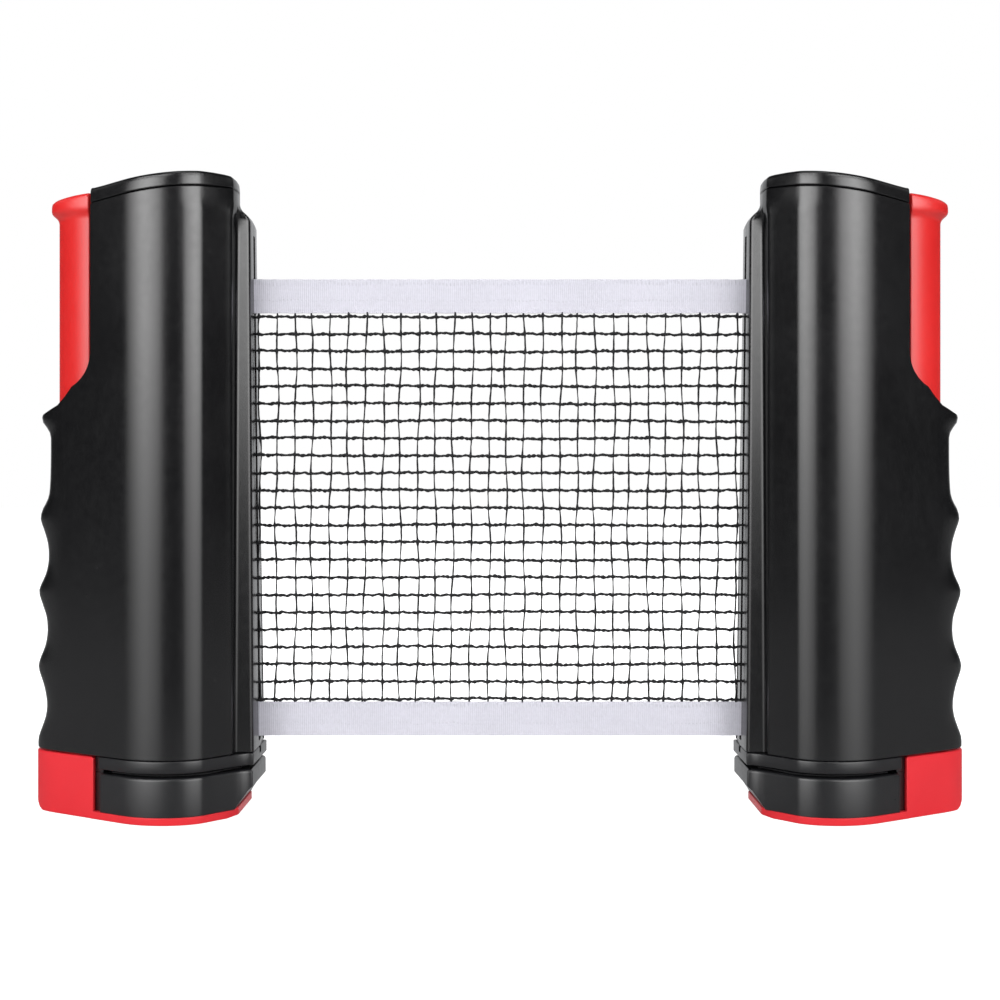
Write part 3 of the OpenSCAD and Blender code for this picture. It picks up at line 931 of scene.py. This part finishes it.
def make_top_caps():
    points = eased(closed(skin_half(192.0)), 1)
    points = part([(max(x, neck_line(y)), y) for x, y in points], -1, LIP_X)
    # Points that share a place at the neck are merged
    clean = []
    for p in points:
        if not clean or math.dist(p, clean[-1]) > 0.12:
            clean.append(p)
    points = rounded(clean, 1.0, 30, 5)

    def ring(g, h, k=1.0):
        """A level of the cap: its outer end stays upright, and its top falls to the neck."""
        out = []
        rim = min(g, 0.7)
        k *= 1 - (g - rim) / 22
        for (x, y), (x0, _) in zip(inset(points, rim), points):
            x, y = lerp(26.0, x, k), y * k
            if x0 > LIP_X - 1.2 and g < 3.6:
                x = x0 - 0.35 * g
            fall = 0.9 * max(0, (15.0 - x) / 10) ** 2 * min(1, h / 4)
            out.append(at_post(x, y, slope(x) + h - fall))
        return out

    profile = [(0.3, 0.08), (0.0, 0.35), (0.03, 1.1), (0.08, 2.0), (0.14, 2.8), (0.22, 3.4),
               (0.34, 3.8), (0.55, 4.16), (0.9, 4.44), (1.5, 4.66), (2.3, 4.82), (3.6, 4.98),
               (3.6, 5.14, 0.6), (3.6, 5.2, 0.25)]
    cap = loft("cap", [ring(*level) for level in profile])

    def sloping(name, half, low, high):
        return loft(name, [place(closed(half), lambda x, y, h=h: slope(x) + h)
                           for h in (low, high)])

    # Plug rim inside the shells, clear of the upper screw
    plug = sloping("plug", [(12.6, 11.5)] + within(WALL + 0.4, 13, 44.8) + [(44.8, 13.6)],
                   -3, 0.6)
    core = sloping("core", [(14.6, 10.0)] + within(WALL + 2.2, 16, 43.2) + [(43.2, 12.0)],
                   -5, 0.3)
    carve(plug, [core, rod_y("clear", *HIGH_BOSS, BOSS_R + 0.4, -BEYOND, BEYOND)])
    carve(cap, [plug], "UNION")
    finish_pair(cap, "cap_moulding", "post", "black", "top_cap", 30)


# ---------------------------------------------------------------- foot

def tongue(z0, z1):
    """The piece at the outer end of a black block that closes the gap to the red one."""
    return prism("tongue", part(plain_outline(2.5), 45.0, 47.75), z0, z1)


def pad_pocket(z0, z1):
    return prism("pocket", rounded(part(plain_outline(3.4), 4.0, 42.7), 1.0, 30), z0, z1)


def make_base_caps():
    points = rounded(part(visible_outline(), 0.0, 46.2), 0.9, 30)
    cap = prism("base", points, CAP_LOW, SEAM_Z - 0.06, 0.35, 0.3)
    rim_half = [(8.3, 12.4)] + within(WALL + 0.3, 12, 45.1) + [(45.1, 13.9)]
    core_half = [(10.2, 11.4)] + within(WALL + 2.0, 13, 43.4) + [(43.4, 12.0)]
    rim = prism("rim", closed(rim_half), SEAM_Z - 1, SEAM_Z + 1.8)
    carve(rim, [prism("rim core", closed(core_half), SEAM_Z - 2, SEAM_Z + 3)])
    carve(cap, [rim, tongue(JAW_TOP + 0.12, SEAM_Z - 0.5)], "UNION")
    # A groove that ends the slot for the net
    notch = prism("notch", [(-2, -1.3), (3.2, -1.3), (3.2, 1.3), (-2, 1.3)], 17.2, 22)
    carve(cap, [pad_pocket(13, 16.2), notch]
          + [rod("hole", x, y, HEAD_R, 15, 17.4) for x, y in BASE_SCREWS]
          + [rod("seat", ROLLER_X, ROLLER_Y, BORE_R, 17.0, 22)])
    finish_pair(cap, "foot_moulding", "post", "black_base", "base_cap")


def ribbed_pad(z0, z1, low, high):
    """A rubber pad with shallow ribs across the face whose edge is rounded."""
    pad = prism("pad", rounded(part(plain_outline(3.6), 4.2, 42.5), 1.0, 30), z0, z1, low, high)
    face = z1 if high else z0
    grooves = []
    for i in range(11):
        x = 7.2 + 3.2 * i
        end = min(17.5, 9.0 + 0.9 * i, 17.5 - 0.9 * (i - 7))
        grooves.append(prism("groove", [(x, -end), (x + 0.8, -end), (x + 0.8, end), (x, end)],
                             face - 0.35, face + 0.35))
    take(*grooves)
    bpy.ops.object.join()
    return carve(pad, [bpy.context.object])


def make_pads():
    finish_pair(ribbed_pad(15.0, 16.18, 0.25, 0.0), "foot_rubber", "post", "rubber",
                "base_pad")
    finish_pair(ribbed_pad(13.32, 14.5, 0.0, 0.25), "jaw_rubber", "clamp", "rubber",
                "jaw_pad")


def make_jaws():
    body = rounded(part(visible_outline(0.25), 0.0, 45.7), 2.2, 20, 6)
    block = prism("block", body, PLATE_T, JAW_TOP, 0.0, 1.0)
    carve(block, [tongue(PLATE_T, JAW_TOP)], "UNION")
    # The inner end is cut back from below
    slant = side_prism("slant", [(-6, 1.0), (5.6, 1.0), (5.2, 2.6), (1.7, 7.6), (-0.3, 9.3),
                                 (-6, 9.7)], 20)
    carve(block, [slant, pad_pocket(13.3, 20)]
          + [rod("hole", x, 0, BORE_R, 1, 10) for x in JAW_SCREWS])
    finish_pair(block, "jaw_moulding", "clamp", "black_base", "jaw_block")


def stem_section(g, ex):
    """The stem's plan: a full face that rolls over to its outer end."""
    y0 = 15.5 - 1.06 * g
    half = [(STEM_X, 0.0), (STEM_X, y0 - 1.9), (STEM_X + 0.3, y0 - 0.9), (STEM_X + 1.0, y0)]
    half += curve(half[-1], (STEM_X + 4.4, y0 - 0.62), (ex - 4.4, y0 - 2.5),
                  (ex - 1.3, y0 - 6.6), 14)
    half += curve(half[-1], (ex - 0.5, y0 - 7.5), (ex, y0 - 8.4), (ex, y0 - 9.6), 5)
    return closed(half + [(ex, 0.0)])


def make_levers():
    # Stem with its thumb flange: height, setback of the face, outer end
    levels = [(1.8, 3.4, 62.8), (60, 3.4, 62.8), (120, 3.4, 62.8), (184.2, 3.4, 62.8),
              (185.0, 3.3, 62.95), (185.7, 3.05, 63.35), (186.2, 2.75, 63.85), (186.7, 2.5, 64.3),
              (187.3, 2.35, 64.65), (188.1, 2.3, 64.8), (189.9, 2.35, 64.8), (190.7, 2.45, 64.65),
              (191.3, 2.8, 64.2), (191.65, 3.4, 63.4), (191.8, 4.4, 62.2)]
    # The flange's top falls outwards, as the cap does
    stem = loft("stem", [place(stem_section(g, ex),
                               lambda x, y, z=z: z + ramp(z, 186, 4) * (55.5 - x) * 0.08)
                         for z, g, ex in levels])
    inside = part(plain_outline(5.6, 61.2, 3.8), STEM_X - 4, OUTER_X)
    carve(stem, [prism("hollow", inside, 22, 118), prism("hollow", inside, 121, 184.5),
                 rod("bore", ROD_X, 0, 2.55, 116, 123)])
    # Block at the foot, with a cut corner below its outer end
    outer = rounded(part(visible_outline(), 48.0, OUTER_X + 1), 0.5, 30)
    block = prism("block", outer, 0.0, 18.8, 0.35, 0.45)
    carve(block, [side_prism("corner", [(66.8, -2), (74, -2), (74, 6.2), (70.7, 4.6), (70.0, 2.6),
                                        (68.8, 1.0), (67.2, 0.0)], 40)])
    # Floor plate, whose inner corners are cut and rounded
    plan = part(visible_outline(), 4.7, 49.5)
    for way in (1, -1):
        plan = clip(plan, 0.901, -0.433 * way, -0.27)
    plate = prism("plate", rounded(plan, 2.5, 15, 5), 0.0, PLATE_T, 0.2)
    carve(block, [plate, stem], "UNION")
    holes = [rod("hole", x, 0, BORE_R, -1, 4) for x in JAW_SCREWS]
    holes += [rod("seat", x, 0, HEAD_R, -1, 1.3) for x in JAW_SCREWS]
    # Moulded hollow under the block
    core = inset(rounded(part(plain_outline(), 50.5, 67.0), 1.0, 30), 2.4)
    carve(block, holes + [prism("core", core, -1, 1.2)])
    for _, obj in finish_pair(block, "lever_moulding", "clamp", "lever",
                              "clamp_slide"):
        wear(obj, "lever", "block")
        for f in obj.data.polygons:
            f.material_index = 1 if f.center.z < 19.0 * MM else 0


# ---------------------------------------------------------------- springs and rollers

def coil(x, y, r, wire, z0, z1, turns, steps, sides):
    """An open coil spring with flattened end turns, spun from one wire section."""
    total = int(turns * steps)
    rest = 1.0 / turns
    path = []
    for t in even(total):
        a = 2 * math.pi * turns * t
        path.append(at_post(x + r * math.cos(a), y + r * math.sin(a),
                            lerp(z0 + wire, z1 - wire, ramp(t, rest, 1 - 2 * rest))))
    rings = []
    for i, p in enumerate(path):
        along = (path[min(i + 1, total)] - path[max(i - 1, 0)]).normalized()
        side = along.cross(Vector((0, 0, 1))).normalized()
        top = side.cross(along).normalized()
        rings.append([p + (side * c + top * s) * wire * MM for c, s in spokes(sides)])
    return tubes("coil", [rings])


def make_springs():
    spring = coil(ROD_X, 0, 3.75, 0.55, SPRING_LOW, SPRING_HIGH, 19, 20, 7)
    for side, obj in both_sides(spring, "clamp_coil", 60):
        wear(obj, "spring")
        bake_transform(obj)
        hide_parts(side + "_clamp_spring")
    rewind = coil(ROLLER_X, ROLLER_Y, 2.8, 0.4, 38.5, 151.5, 60, 12, 6)
    finish_pair(rewind, "rewind_coil", "post", "spring", "rewind_spring", 60)


def on_axle(name, r, z0, z1, n):
    return rod(name, ROLLER_X, ROLLER_Y, r, z0, z1, n)


def make_rollers():
    tube = on_axle("tube", TUBE_R, NET_LOW - 0.9, NET_HIGH + 0.9, 40)
    carve(tube, [on_axle("bore", TUBE_R - 1, NET_LOW - 3, NET_HIGH + 3, 40)])
    finish_pair(tube, "tube_moulding", "roller", "inner", "roller_tube")
    for name, z, up in (("lower_bush", NET_LOW - 0.92, -1), ("upper_bush", NET_HIGH + 0.92, 1)):
        bush = on_axle("bush", 8.4, *sorted((z, z + up * 1.4)), 40)
        soften(bush, 0.3)
        carve(bush, [on_axle("spigot", 3.97, *sorted((z - up * 7, z + up * 0.5)), 32)], "UNION")
        carve(bush, [on_axle("bore", BOLT_R, z - 12, z + 12, 24)])
        finish_pair(bush, name + "_moulding", "roller", "inner", name)
    half = [(8.2, 12.3)] + within(WALL + 0.3, 12, 45.1) + [(45.1, 13.8)]
    plate = prism("plate", rounded(closed(half), 0.8, 30), PLATE_LOW, PLATE_HIGH)
    soften(plate, 0.3)
    carve(plate, [on_axle("bore", BORE_R, 170, 176, 24),
                  rod_y("clear", *HIGH_BOSS, 5.6, -30, 30)])
    finish_pair(plate, "bearing_moulding", "post", "inner", "roller_plate")


# ---------------------------------------------------------------- net

def thicken(obj, thickness):
    applied(obj, "SOLIDIFY", thickness=thickness * MM, offset=0)
    outward(obj)
    bpy.ops.object.shade_smooth_by_angle(angle=math.radians(40))


def make_rolls():
    """The net wound on the rollers: a spiral of its whole length, in three bands."""
    first, last = TUBE_R + 0.12, ROLL_R - 0.1
    turns = (last - first) / ROLL_PITCH
    steps = int(turns * 40)
    heights = (NET_LOW, NET_LOW + TAPE_H, NET_LOW + TAPE_H + 0.01,
               NET_HIGH - TAPE_H - 0.01, NET_HIGH - TAPE_H, NET_HIGH)
    bands = (0, 1, 1, 1, 2)
    verts = []
    for t in even(steps):
        a = 2 * math.pi * turns * t - math.pi / 2
        r = lerp(first, last, t)
        verts += [at_post(ROLLER_X + r * math.cos(a), ROLLER_Y + r * math.sin(a), z)
                  for z in heights]
    rows = len(heights)
    corners = [i * rows + k for i in range(steps) for k in range(rows - 1)]
    roll = new_mesh("right_roll", verts, [(a, a + rows, a + rows + 1, a + 1) for a in corners])
    for i, f in enumerate(roll.data.polygons):
        f.material_index = bands[i % len(bands)]
    thicken(roll, 0.22)
    for side, one in (("right", roll), ("left", flipped(roll, "left_roll"))):
        wear(one, "tape_low", "yarn", "tape_high")
        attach(one, side + "_roller")
        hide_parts(side + "_wound_net")


def rest_of(full):
    """Place at rest of a reserve's point that lies at `full` when the net is out."""
    lo, hi = 0.0, 1.0
    for _ in range(40):
        t = (lo + hi) / 2
        if FREE + (DEEP - FREE) * t + PULL * (3 * t * t - 2 * t**3) < full:
            lo = t
        else:
            hi = t
    return FREE + (DEEP - FREE) * lo


def blend_half(obj, side):
    """Puts the piece's place into its mesh, the same way on either side."""
    if side > 0:
        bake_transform(obj)
    else:
        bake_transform(obj)


def finish_reserve(right, name, finish):
    """Finishes the length that waits in the right post, and makes the left post's from it."""
    for obj, side in ((named(right, "right_" + name), 1), (flipped(right, "left_" + name), -1)):
        wear(obj, finish)
        blend_half(obj, side)


def sagging(x, phase):
    """Slow wander of a strand from its straight line."""
    return 0.16 * math.sin(x * 0.043 + phase) + 0.10 * math.sin(x * 0.117 + 2.1 * phase)


def knots_along(x0, x1, cell, rng):
    out = []
    while x0 <= x1 + 1e-6:
        out.append(x0 + rng.uniform(-0.35, 0.35))
        x0 += cell
    return out


def lengthways(pts, radii, sides, start=0.0, flat=1.0):
    """Rings of a cord along X, with its thickness in y made flat by a share."""
    return [[Vector((x * MM, (y + flat * r * c) * MM, (z + r * s) * MM))
             for c, s in spokes(sides, start)] for (x, y, z), r in zip(pts, radii)]


def level_ring(x, y, z, r, sides):
    """A ring of an upright cord."""
    return [Vector(((x + r * c) * MM, (y + r * s) * MM, z * MM)) for c, s in spokes(sides)]


def strand(path_x, z0, columns, phase, rng):
    """Two yarns that twist round each other and meet at the knots, and a thin one round them."""
    yarns = []
    kinks = [rng.uniform(0, 6.28) for _ in range(8)]
    for side, reach, thick in ((1, 0.75, 1.0), (-1, 0.35, 1.12), (0.6, 1.25, 0.5)):
        pts, radii = [], []
        for x in path_x:
            near = min(abs(x - c) for c in columns)
            free = min(1, near / 1.1)
            open_by = 0.26 + 0.2 * math.sin(x * 0.9 + kinks[0]) * math.sin(x * 0.37 + kinks[1])
            open_by *= free * reach
            a = x * 1.55 + kinks[2] + 1.1 * math.sin(x * 0.33 + kinks[3]) + (thick < 1) * x * 0.8
            dz = side * open_by * math.cos(a) + sagging(x, phase)
            dz += 0.10 * math.sin(x * 2.3 + kinks[4] * side) + 0.13 * math.sin(x * 1.15 + kinks[6])
            pts.append((x, side * 0.22 * math.sin(a) * free, z0 + dz))
            swell = 1.0 + 0.5 * max(0, 1 - near / 0.8)
            wave = 0.24 * math.sin(x * 1.9 + kinks[5] + side) + 0.14 * math.sin(x * 4.3 + kinks[7])
            radii.append(mm("yarn") * thick * swell * (1 + wave))
        yarns.append(lengthways(pts, radii, 5))
    return yarns


def upright(x, low, high, heights, rng, n=110):
    """A cord from tape to tape that wanders, and thickens where it crosses a strand."""
    a, b = rng.uniform(0, 6.28), rng.uniform(0, 6.28)
    lean = rng.uniform(0.0, 0.9)
    rings = []
    for t in even(n):
        z = lerp(low, high, t)
        dx = 0.35 * math.sin(t * 11 + a) + 0.22 * math.sin(t * 29 + b) + lean * (t - 0.5)
        dx += rng.uniform(-0.04, 0.04)
        near = min(abs(z - h) for h in heights)
        r = mm("cord") * (1 + 0.9 * max(0, 1 - near / 0.7))
        r *= 1 + 0.12 * math.sin(t * 160 + b) + 0.22 * math.sin(t * 37 + a)
        rings.append(level_ring(x + dx, 0.12 * math.sin(t * 70 + a), z, r, 5))
    return rings


def make_net():
    sizes = bpy.context.scene.net_set_sizes
    rng = random.Random(sizes.seed)
    cell = mm("cell")
    heights = [lerp(*STRANDS_Z, t) for t in even(sizes.strands - 1)]
    z_low, z_high = NET_LOW + TAPE_H - 0.4, NET_HIGH - TAPE_H + 0.4
    columns = knots_along(-HALF_GAP - 0.2, HALF_GAP + 0.2, cell, rng)
    half = int(2 * FREE)
    xs = [lerp(-FREE, FREE, t) for t in even(2 * half)]
    phases = [rng.uniform(0, 6.28) for _ in heights]
    yarns = []
    for z, phase in zip(heights, phases):
        yarns += strand(xs, z, columns, phase, rng)
    cords = {-1: [], 1: []}
    for x in columns:
        cords[1 if x > 0 else -1].append(upright(x, z_low, z_high, heights, rng))
    # Each half of the net ends in the middle, as a mesh of its own
    strands = {-1: tubes("left_net_strands", [y[:half + 1] for y in yarns]),
               1: tubes("right_net_strands", [y[half:] for y in yarns])}
    for name, side in SIDES:
        uprights = tubes(name + "_net_uprights", cords[side])
        for obj in (strands[side], uprights):
            wear(obj, "yarn")
        blend_half(strands[side], side)
        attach(uprights, "net")
    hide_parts("net_mesh")
    # Reserves, modelled pulled out and then laid back into the posts
    count = int((REACH - FREE) / cell)
    xs = [lerp(FREE, REACH, t) for t in even(2 * count)]
    many = []
    for z, phase in zip(heights, phases):
        pts = [(x, 0.0, z + sagging(lerp(FREE, x, 0.2), phase)) for x in xs]
        radii = [0.5 + 0.08 * math.sin(i * 1.7 + z) for i in range(len(xs))]
        many.append(lengthways(pts, radii, 4, math.pi / 4, 0.55))
    for x in [lerp(FREE, REACH, (i + 0.4) / count) for i in range(count)]:
        a = rng.uniform(0, 6.28)
        many.append([level_ring(x + 0.3 * math.sin(t * 9 + a), 0.0, lerp(z_low, z_high, t),
                                mm("cord"), 4) for t in even(24)])
    reserve = tubes("reserve", many)
    for v in reserve.data.vertices:
        v.co.x = rest_of(max(FREE, min(REACH, v.co.x / MM))) * MM
    finish_reserve(reserve, "net_reserve", "yarn")


def band(name, xs, z0, rows, wave=None):
    """A thin woven band of the tape's height, on a grid of columns and rows."""
    quiet()
    cols = len(xs)
    bpy.ops.mesh.primitive_grid_add(x_subdivisions=cols - 1, y_subdivisions=rows,
                                    size=1, location=(0, 0, 0))
    obj = named(bpy.context.object, name)
    for i, v in enumerate(obj.data.vertices):
        x, t = xs[i % cols], i // cols / rows
        dz, dy = wave(x, t) if wave else (0.0, 0.0)
        v.co = (x * MM, dy * MM, (lerp(z0, z0 + TAPE_H, t) + dz) * MM)
    thicken(obj, TAPE_T)
    return obj


def make_tapes():
    rng = random.Random(bpy.context.scene.net_set_sizes.seed + 3)
    for which, z0, finish in (("top", NET_HIGH - TAPE_H, "tape_high"),
                              ("bottom", NET_LOW, "tape_low")):
        a, b = rng.uniform(0, 6.28), rng.uniform(0, 6.28)

        def wave(x, t, a=a, b=b):
            """Unevenness of the edges, which only draws in, and of the face."""
            edge = abs(2 * t - 1)
            dz = 0.05 * math.sin(x * 0.31 + a) * edge + 0.06 * math.sin(x * 0.83 + b) * edge
            return -abs(dz) * (1 if t > 0.5 else -1), 0.07 * math.sin(x * 0.19 + a + 2 * t)

        for name, side in SIDES:
            ends = (0, FREE) if side > 0 else (-FREE, 0)
            xs = [lerp(*ends, t) for t in even(130)]
            piece = band(name + "_" + which + "_tape", xs, z0, 12, wave)
            wear(piece, finish)
            blend_half(piece, side)
            if side > 0:
                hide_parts("net_" + which + "_tape")
        xs = [rest_of(lerp(FREE, REACH, t)) for t in even(240)]
        finish_reserve(band("reserve", xs, z0, 4), which + "_tape_reserve", finish)


# ---------------------------------------------------------------- hardware kept from the frame

def dress_hardware():
    for side, _ in SIDES:
        for name in ("shell_screws", "base_screws", "jaw_screws", "guide_rod", "roller_axle"):
            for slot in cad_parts[side + "_" + name].material_slots:
                slot.material = MATERIALS["steel"]


# ---------------------------------------------------------------- stage

def add_object(name, data):
    obj = bpy.data.objects.new(name, data)
    bpy.context.scene.collection.objects.link(obj)
    return obj


def make_camera():
    data = bpy.data.cameras.new("camera")
    data.lens = 45.18
    data.sensor_width = 36.0
    data.shift_y = -0.002
    data.clip_start, data.clip_end = 0.01, 50
    camera = add_object("camera", data)
    camera.location = (0.0, -0.399, 0.098)
    camera.rotation_euler = (math.pi / 2, 0, 0)
    bpy.context.scene.camera = camera


def soft_light(name, azimuth, elevation, distance, width, height, radiance, aim=0.1, fade=None):
    """A flat softbox at an angle from straight in front, aimed at a height over the middle.
    `fade` gives the strength of its lower part, and of its edges near the middle and away
    from it."""
    data = bpy.data.lights.new(name, "AREA")
    data.shape = "RECTANGLE"
    data.size, data.size_y = width, height
    data.energy = radiance * math.pi * width * height
    if fade:
        data.use_nodes = True
        tree = data.node_tree
        across, up, _ = node(tree, "SeparateXYZ", Vector=node(
            tree, "NewGeometry").outputs["Parametric"]).outputs
        if azimuth < 0:
            across = sums(tree, "SUBTRACT", 1, across)
        strength = sums(tree, "MULTIPLY", stretch(tree, across, 0.0, 0.6, fade[1], 1, True),
                        stretch(tree, across, 0.4, 1.0, 1, fade[2], True))
        strength = sums(tree, "MULTIPLY", strength,
                        stretch(tree, up, 0.23, 0.65, fade[0], 1, True))
        feed(tree, strength, tree.nodes["Emission"].inputs["Strength"])
    light = add_object(name, data)
    a, e = math.radians(azimuth), math.radians(elevation)
    target = Vector((0, 0, aim))
    light.location = target + Vector((math.sin(a) * math.cos(e), -math.cos(a) * math.cos(e),
                                      math.sin(e))) * distance
    light.rotation_euler = (target - light.location).to_track_quat("-Z", "Y").to_euler()


def seen_directly(tree, rays):
    return sums(tree, "MAXIMUM", rays["Is Camera Ray"], rays["Is Transmission Ray"])


def make_world():
    world = bpy.data.worlds.new("studio")
    bpy.context.scene.world = world
    world.use_nodes = True
    tree = world.node_tree
    tree.nodes.clear()
    rays = node(tree, "LightPath").outputs
    along = coordinates(tree, "Generated")[1]

    def background(strength, colour=(0.97, 0.98, 1.0, 1)):
        return node(tree, "Background", Strength=strength, Color=colour).outputs[0]

    # A white backdrop stands behind the set, and the room in front is dim
    room = background(stretch(tree, along["Y"], 0.6, 0.95, 0.03, 0.9))
    light = joined_shaders(tree, "MixShader", rays["Is Glossy Ray"], background(0.42), room)
    last = joined_shaders(tree, "MixShader", seen_directly(tree, rays), light,
                          background(1.0, (1, 1, 1, 1)))
    node(tree, "OutputWorld", Surface=last)


def make_floor(colour):
    quiet()
    bpy.ops.mesh.primitive_circle_add(vertices=96, radius=12, fill_type="NGON",
                                      location=(0, 0, -0.0002))
    floor = settle(named(bpy.context.object, "floor"))
    mat, tree, shader = new_material("studio floor", Roughness=0.9, Specular_IOR_Level=0.0)
    where, along = coordinates(tree)
    shade = stretch(tree, noise(tree, where, 30.0, 4.0), 0.3, 0.7, 0.985, 1.0)
    feed(tree, scaled(tree, colour, shade), shader.inputs["Base Color"])
    rays = node(tree, "LightPath").outputs
    # The camera sees the floor as bright as the backdrop, with the shadow on it
    glow = node(tree, "Emission", Strength=0.85).outputs[0]
    bright = joined_shaders(tree, "AddShader", shader.outputs[0], glow)
    seen = joined_shaders(tree, "MixShader", seen_directly(tree, rays), shader.outputs[0], bright)
    # The room goes on below the floor for what shines, so the posts mirror the softboxes to
    # their feet
    ahead = stretch(tree, along["Y"], -0.12, -0.35, 0.7, 0.97)
    mirror = joined_shaders(tree, "MixShader", sums(tree, "MULTIPLY", rays["Is Glossy Ray"], ahead),
                            seen, node(tree, "BsdfTransparent").outputs[0])
    feed(tree, mirror, tree.nodes["Material Output"].inputs["Surface"])
    floor.data.materials.append(mat)


def make_stage(colours):
    bpy.context.scene.view_settings.view_transform = "Standard"
    make_camera()
    make_world()
    make_floor(colours.floor)
    for side in (1, -1):
        soft_light("softbox", 39 * side, 7.8, 3.0, 2.5, 2.6, 5.4, 0.12, (0.26, 0.5, 0.25))
        soft_light("side strip", 100 * side, 32, 1.6, 0.9, 0.4, 0.3)
        soft_light("rim light", 38 * side, 42, 2.6, 1.8, 0.45, 4.0)
    soft_light("top light", 0, 75, 1.8, 1.2, 0.8, 0.9)


# ---------------------------------------------------------------- operators

class NETSET_OT_stage(bpy.types.Operator):
    """Sets up the camera, the pale floor and the studio light"""
    bl_idname = "netset.stage"
    bl_label = "Stage"
    bl_options = {"REGISTER", "UNDO"}

    def execute(self, context):
        make_stage(context.scene.net_set_colours)
        return {"FINISHED"}


class NETSET_OT_materials(bpy.types.Operator):
    """Makes the plastics, steel, rubber, tape and yarn"""
    bl_idname = "netset.materials"
    bl_label = "Materials"
    bl_options = {"REGISTER", "UNDO"}

    def execute(self, context):
        make_materials(context.scene.net_set_colours)
        return {"FINISHED"}


class NETSET_OT_shells(bpy.types.Operator):
    """Models the front and back shells of both posts"""
    bl_idname = "netset.shells"
    bl_label = "Shells"
    bl_options = {"REGISTER", "UNDO"}

    def execute(self, context):
        make_shells()
        return {"FINISHED"}


class NETSET_OT_top_caps(bpy.types.Operator):
    """Models the sloping top caps"""
    bl_idname = "netset.top_caps"
    bl_label = "Top caps"
    bl_options = {"REGISTER", "UNDO"}

    def execute(self, context):
        make_top_caps()
        return {"FINISHED"}


class NETSET_OT_base_caps(bpy.types.Operator):
    """Models the base caps over the clamping pads"""
    bl_idname = "netset.base_caps"
    bl_label = "Base caps"
    bl_options = {"REGISTER", "UNDO"}

    def execute(self, context):
        make_base_caps()
        return {"FINISHED"}


class NETSET_OT_pads(bpy.types.Operator):
    """Models the ribbed rubber pads"""
    bl_idname = "netset.pads"
    bl_label = "Rubber pads"
    bl_options = {"REGISTER", "UNDO"}

    def execute(self, context):
        make_pads()
        return {"FINISHED"}


class NETSET_OT_jaws(bpy.types.Operator):
    """Models the lower jaw blocks"""
    bl_idname = "netset.jaws"
    bl_label = "Jaw blocks"
    bl_options = {"REGISTER", "UNDO"}

    def execute(self, context):
        make_jaws()
        return {"FINISHED"}


class NETSET_OT_levers(bpy.types.Operator):
    """Models the red levers with their blocks and floor plates"""
    bl_idname = "netset.levers"
    bl_label = "Levers"
    bl_options = {"REGISTER", "UNDO"}

    def execute(self, context):
        make_levers()
        return {"FINISHED"}


class NETSET_OT_springs(bpy.types.Operator):
    """Models the clamp springs and the rewind springs"""
    bl_idname = "netset.springs"
    bl_label = "Springs"
    bl_options = {"REGISTER", "UNDO"}

    def execute(self, context):
        make_springs()
        return {"FINISHED"}


class NETSET_OT_rollers(bpy.types.Operator):
    """Models the roller tubes, their bushes and the bearing plates"""
    bl_idname = "netset.rollers"
    bl_label = "Rollers"
    bl_options = {"REGISTER", "UNDO"}

    def execute(self, context):
        make_rollers()
        return {"FINISHED"}


class NETSET_OT_rolls(bpy.types.Operator):
    """Models the net wound on the rollers"""
    bl_idname = "netset.rolls"
    bl_label = "Wound net"
    bl_options = {"REGISTER", "UNDO"}

    def execute(self, context):
        make_rolls()
        return {"FINISHED"}


class NETSET_OT_net(bpy.types.Operator):
    """Models the net's strands and cords, with what the rolls give"""
    bl_idname = "netset.net"
    bl_label = "Net"
    bl_options = {"REGISTER", "UNDO"}

    def execute(self, context):
        make_net()
        return {"FINISHED"}


class NETSET_OT_tapes(bpy.types.Operator):
    """Models the white tapes along the net"""
    bl_idname = "netset.tapes"
    bl_label = "Tapes"
    bl_options = {"REGISTER", "UNDO"}

    def execute(self, context):
        make_tapes()
        return {"FINISHED"}


class NETSET_OT_hardware(bpy.types.Operator):
    """Gives the screws, rods and axles their steel"""
    bl_idname = "netset.hardware"
    bl_label = "Hardware"
    bl_options = {"REGISTER", "UNDO"}

    def execute(self, context):
        dress_hardware()
        return {"FINISHED"}


STEPS = (NETSET_OT_stage, NETSET_OT_materials, NETSET_OT_shells, NETSET_OT_top_caps,
         NETSET_OT_base_caps, NETSET_OT_pads, NETSET_OT_jaws, NETSET_OT_levers,
         NETSET_OT_springs, NETSET_OT_rollers, NETSET_OT_rolls, NETSET_OT_net,
         NETSET_OT_tapes, NETSET_OT_hardware)


class NETSET_PT_panel(bpy.types.Panel):
    """Lists the net set's pieces"""
    bl_label = "Net Set"
    bl_idname = "NETSET_PT_panel"
    bl_space_type = "VIEW_3D"
    bl_region_type = "UI"
    bl_category = "Net Set"

    def draw(self, context):
        column = self.layout.column(align=True)
        for step in STEPS:
            column.operator(step.bl_idname)
        for group in (context.scene.net_set_sizes, context.scene.net_set_colours):
            box = self.layout.box()
            for key in group.__annotations__:
                box.prop(group, key)


CLASSES = (NetSetSizes, NetSetColours) + STEPS + (NETSET_PT_panel,)


def register():
    for cls in CLASSES:
        bpy.utils.register_class(cls)
    bpy.types.Scene.net_set_sizes = PointerProperty(type=NetSetSizes)
    bpy.types.Scene.net_set_colours = PointerProperty(type=NetSetColours)


def unregister():
    del bpy.types.Scene.net_set_colours
    del bpy.types.Scene.net_set_sizes
    for cls in reversed(CLASSES):
        bpy.utils.unregister_class(cls)


def main():
    register()
    for step in STEPS:
        group, name = step.bl_idname.split(".")
        getattr(getattr(bpy.ops, group), name)()


if __name__ == "__main__":
    main()
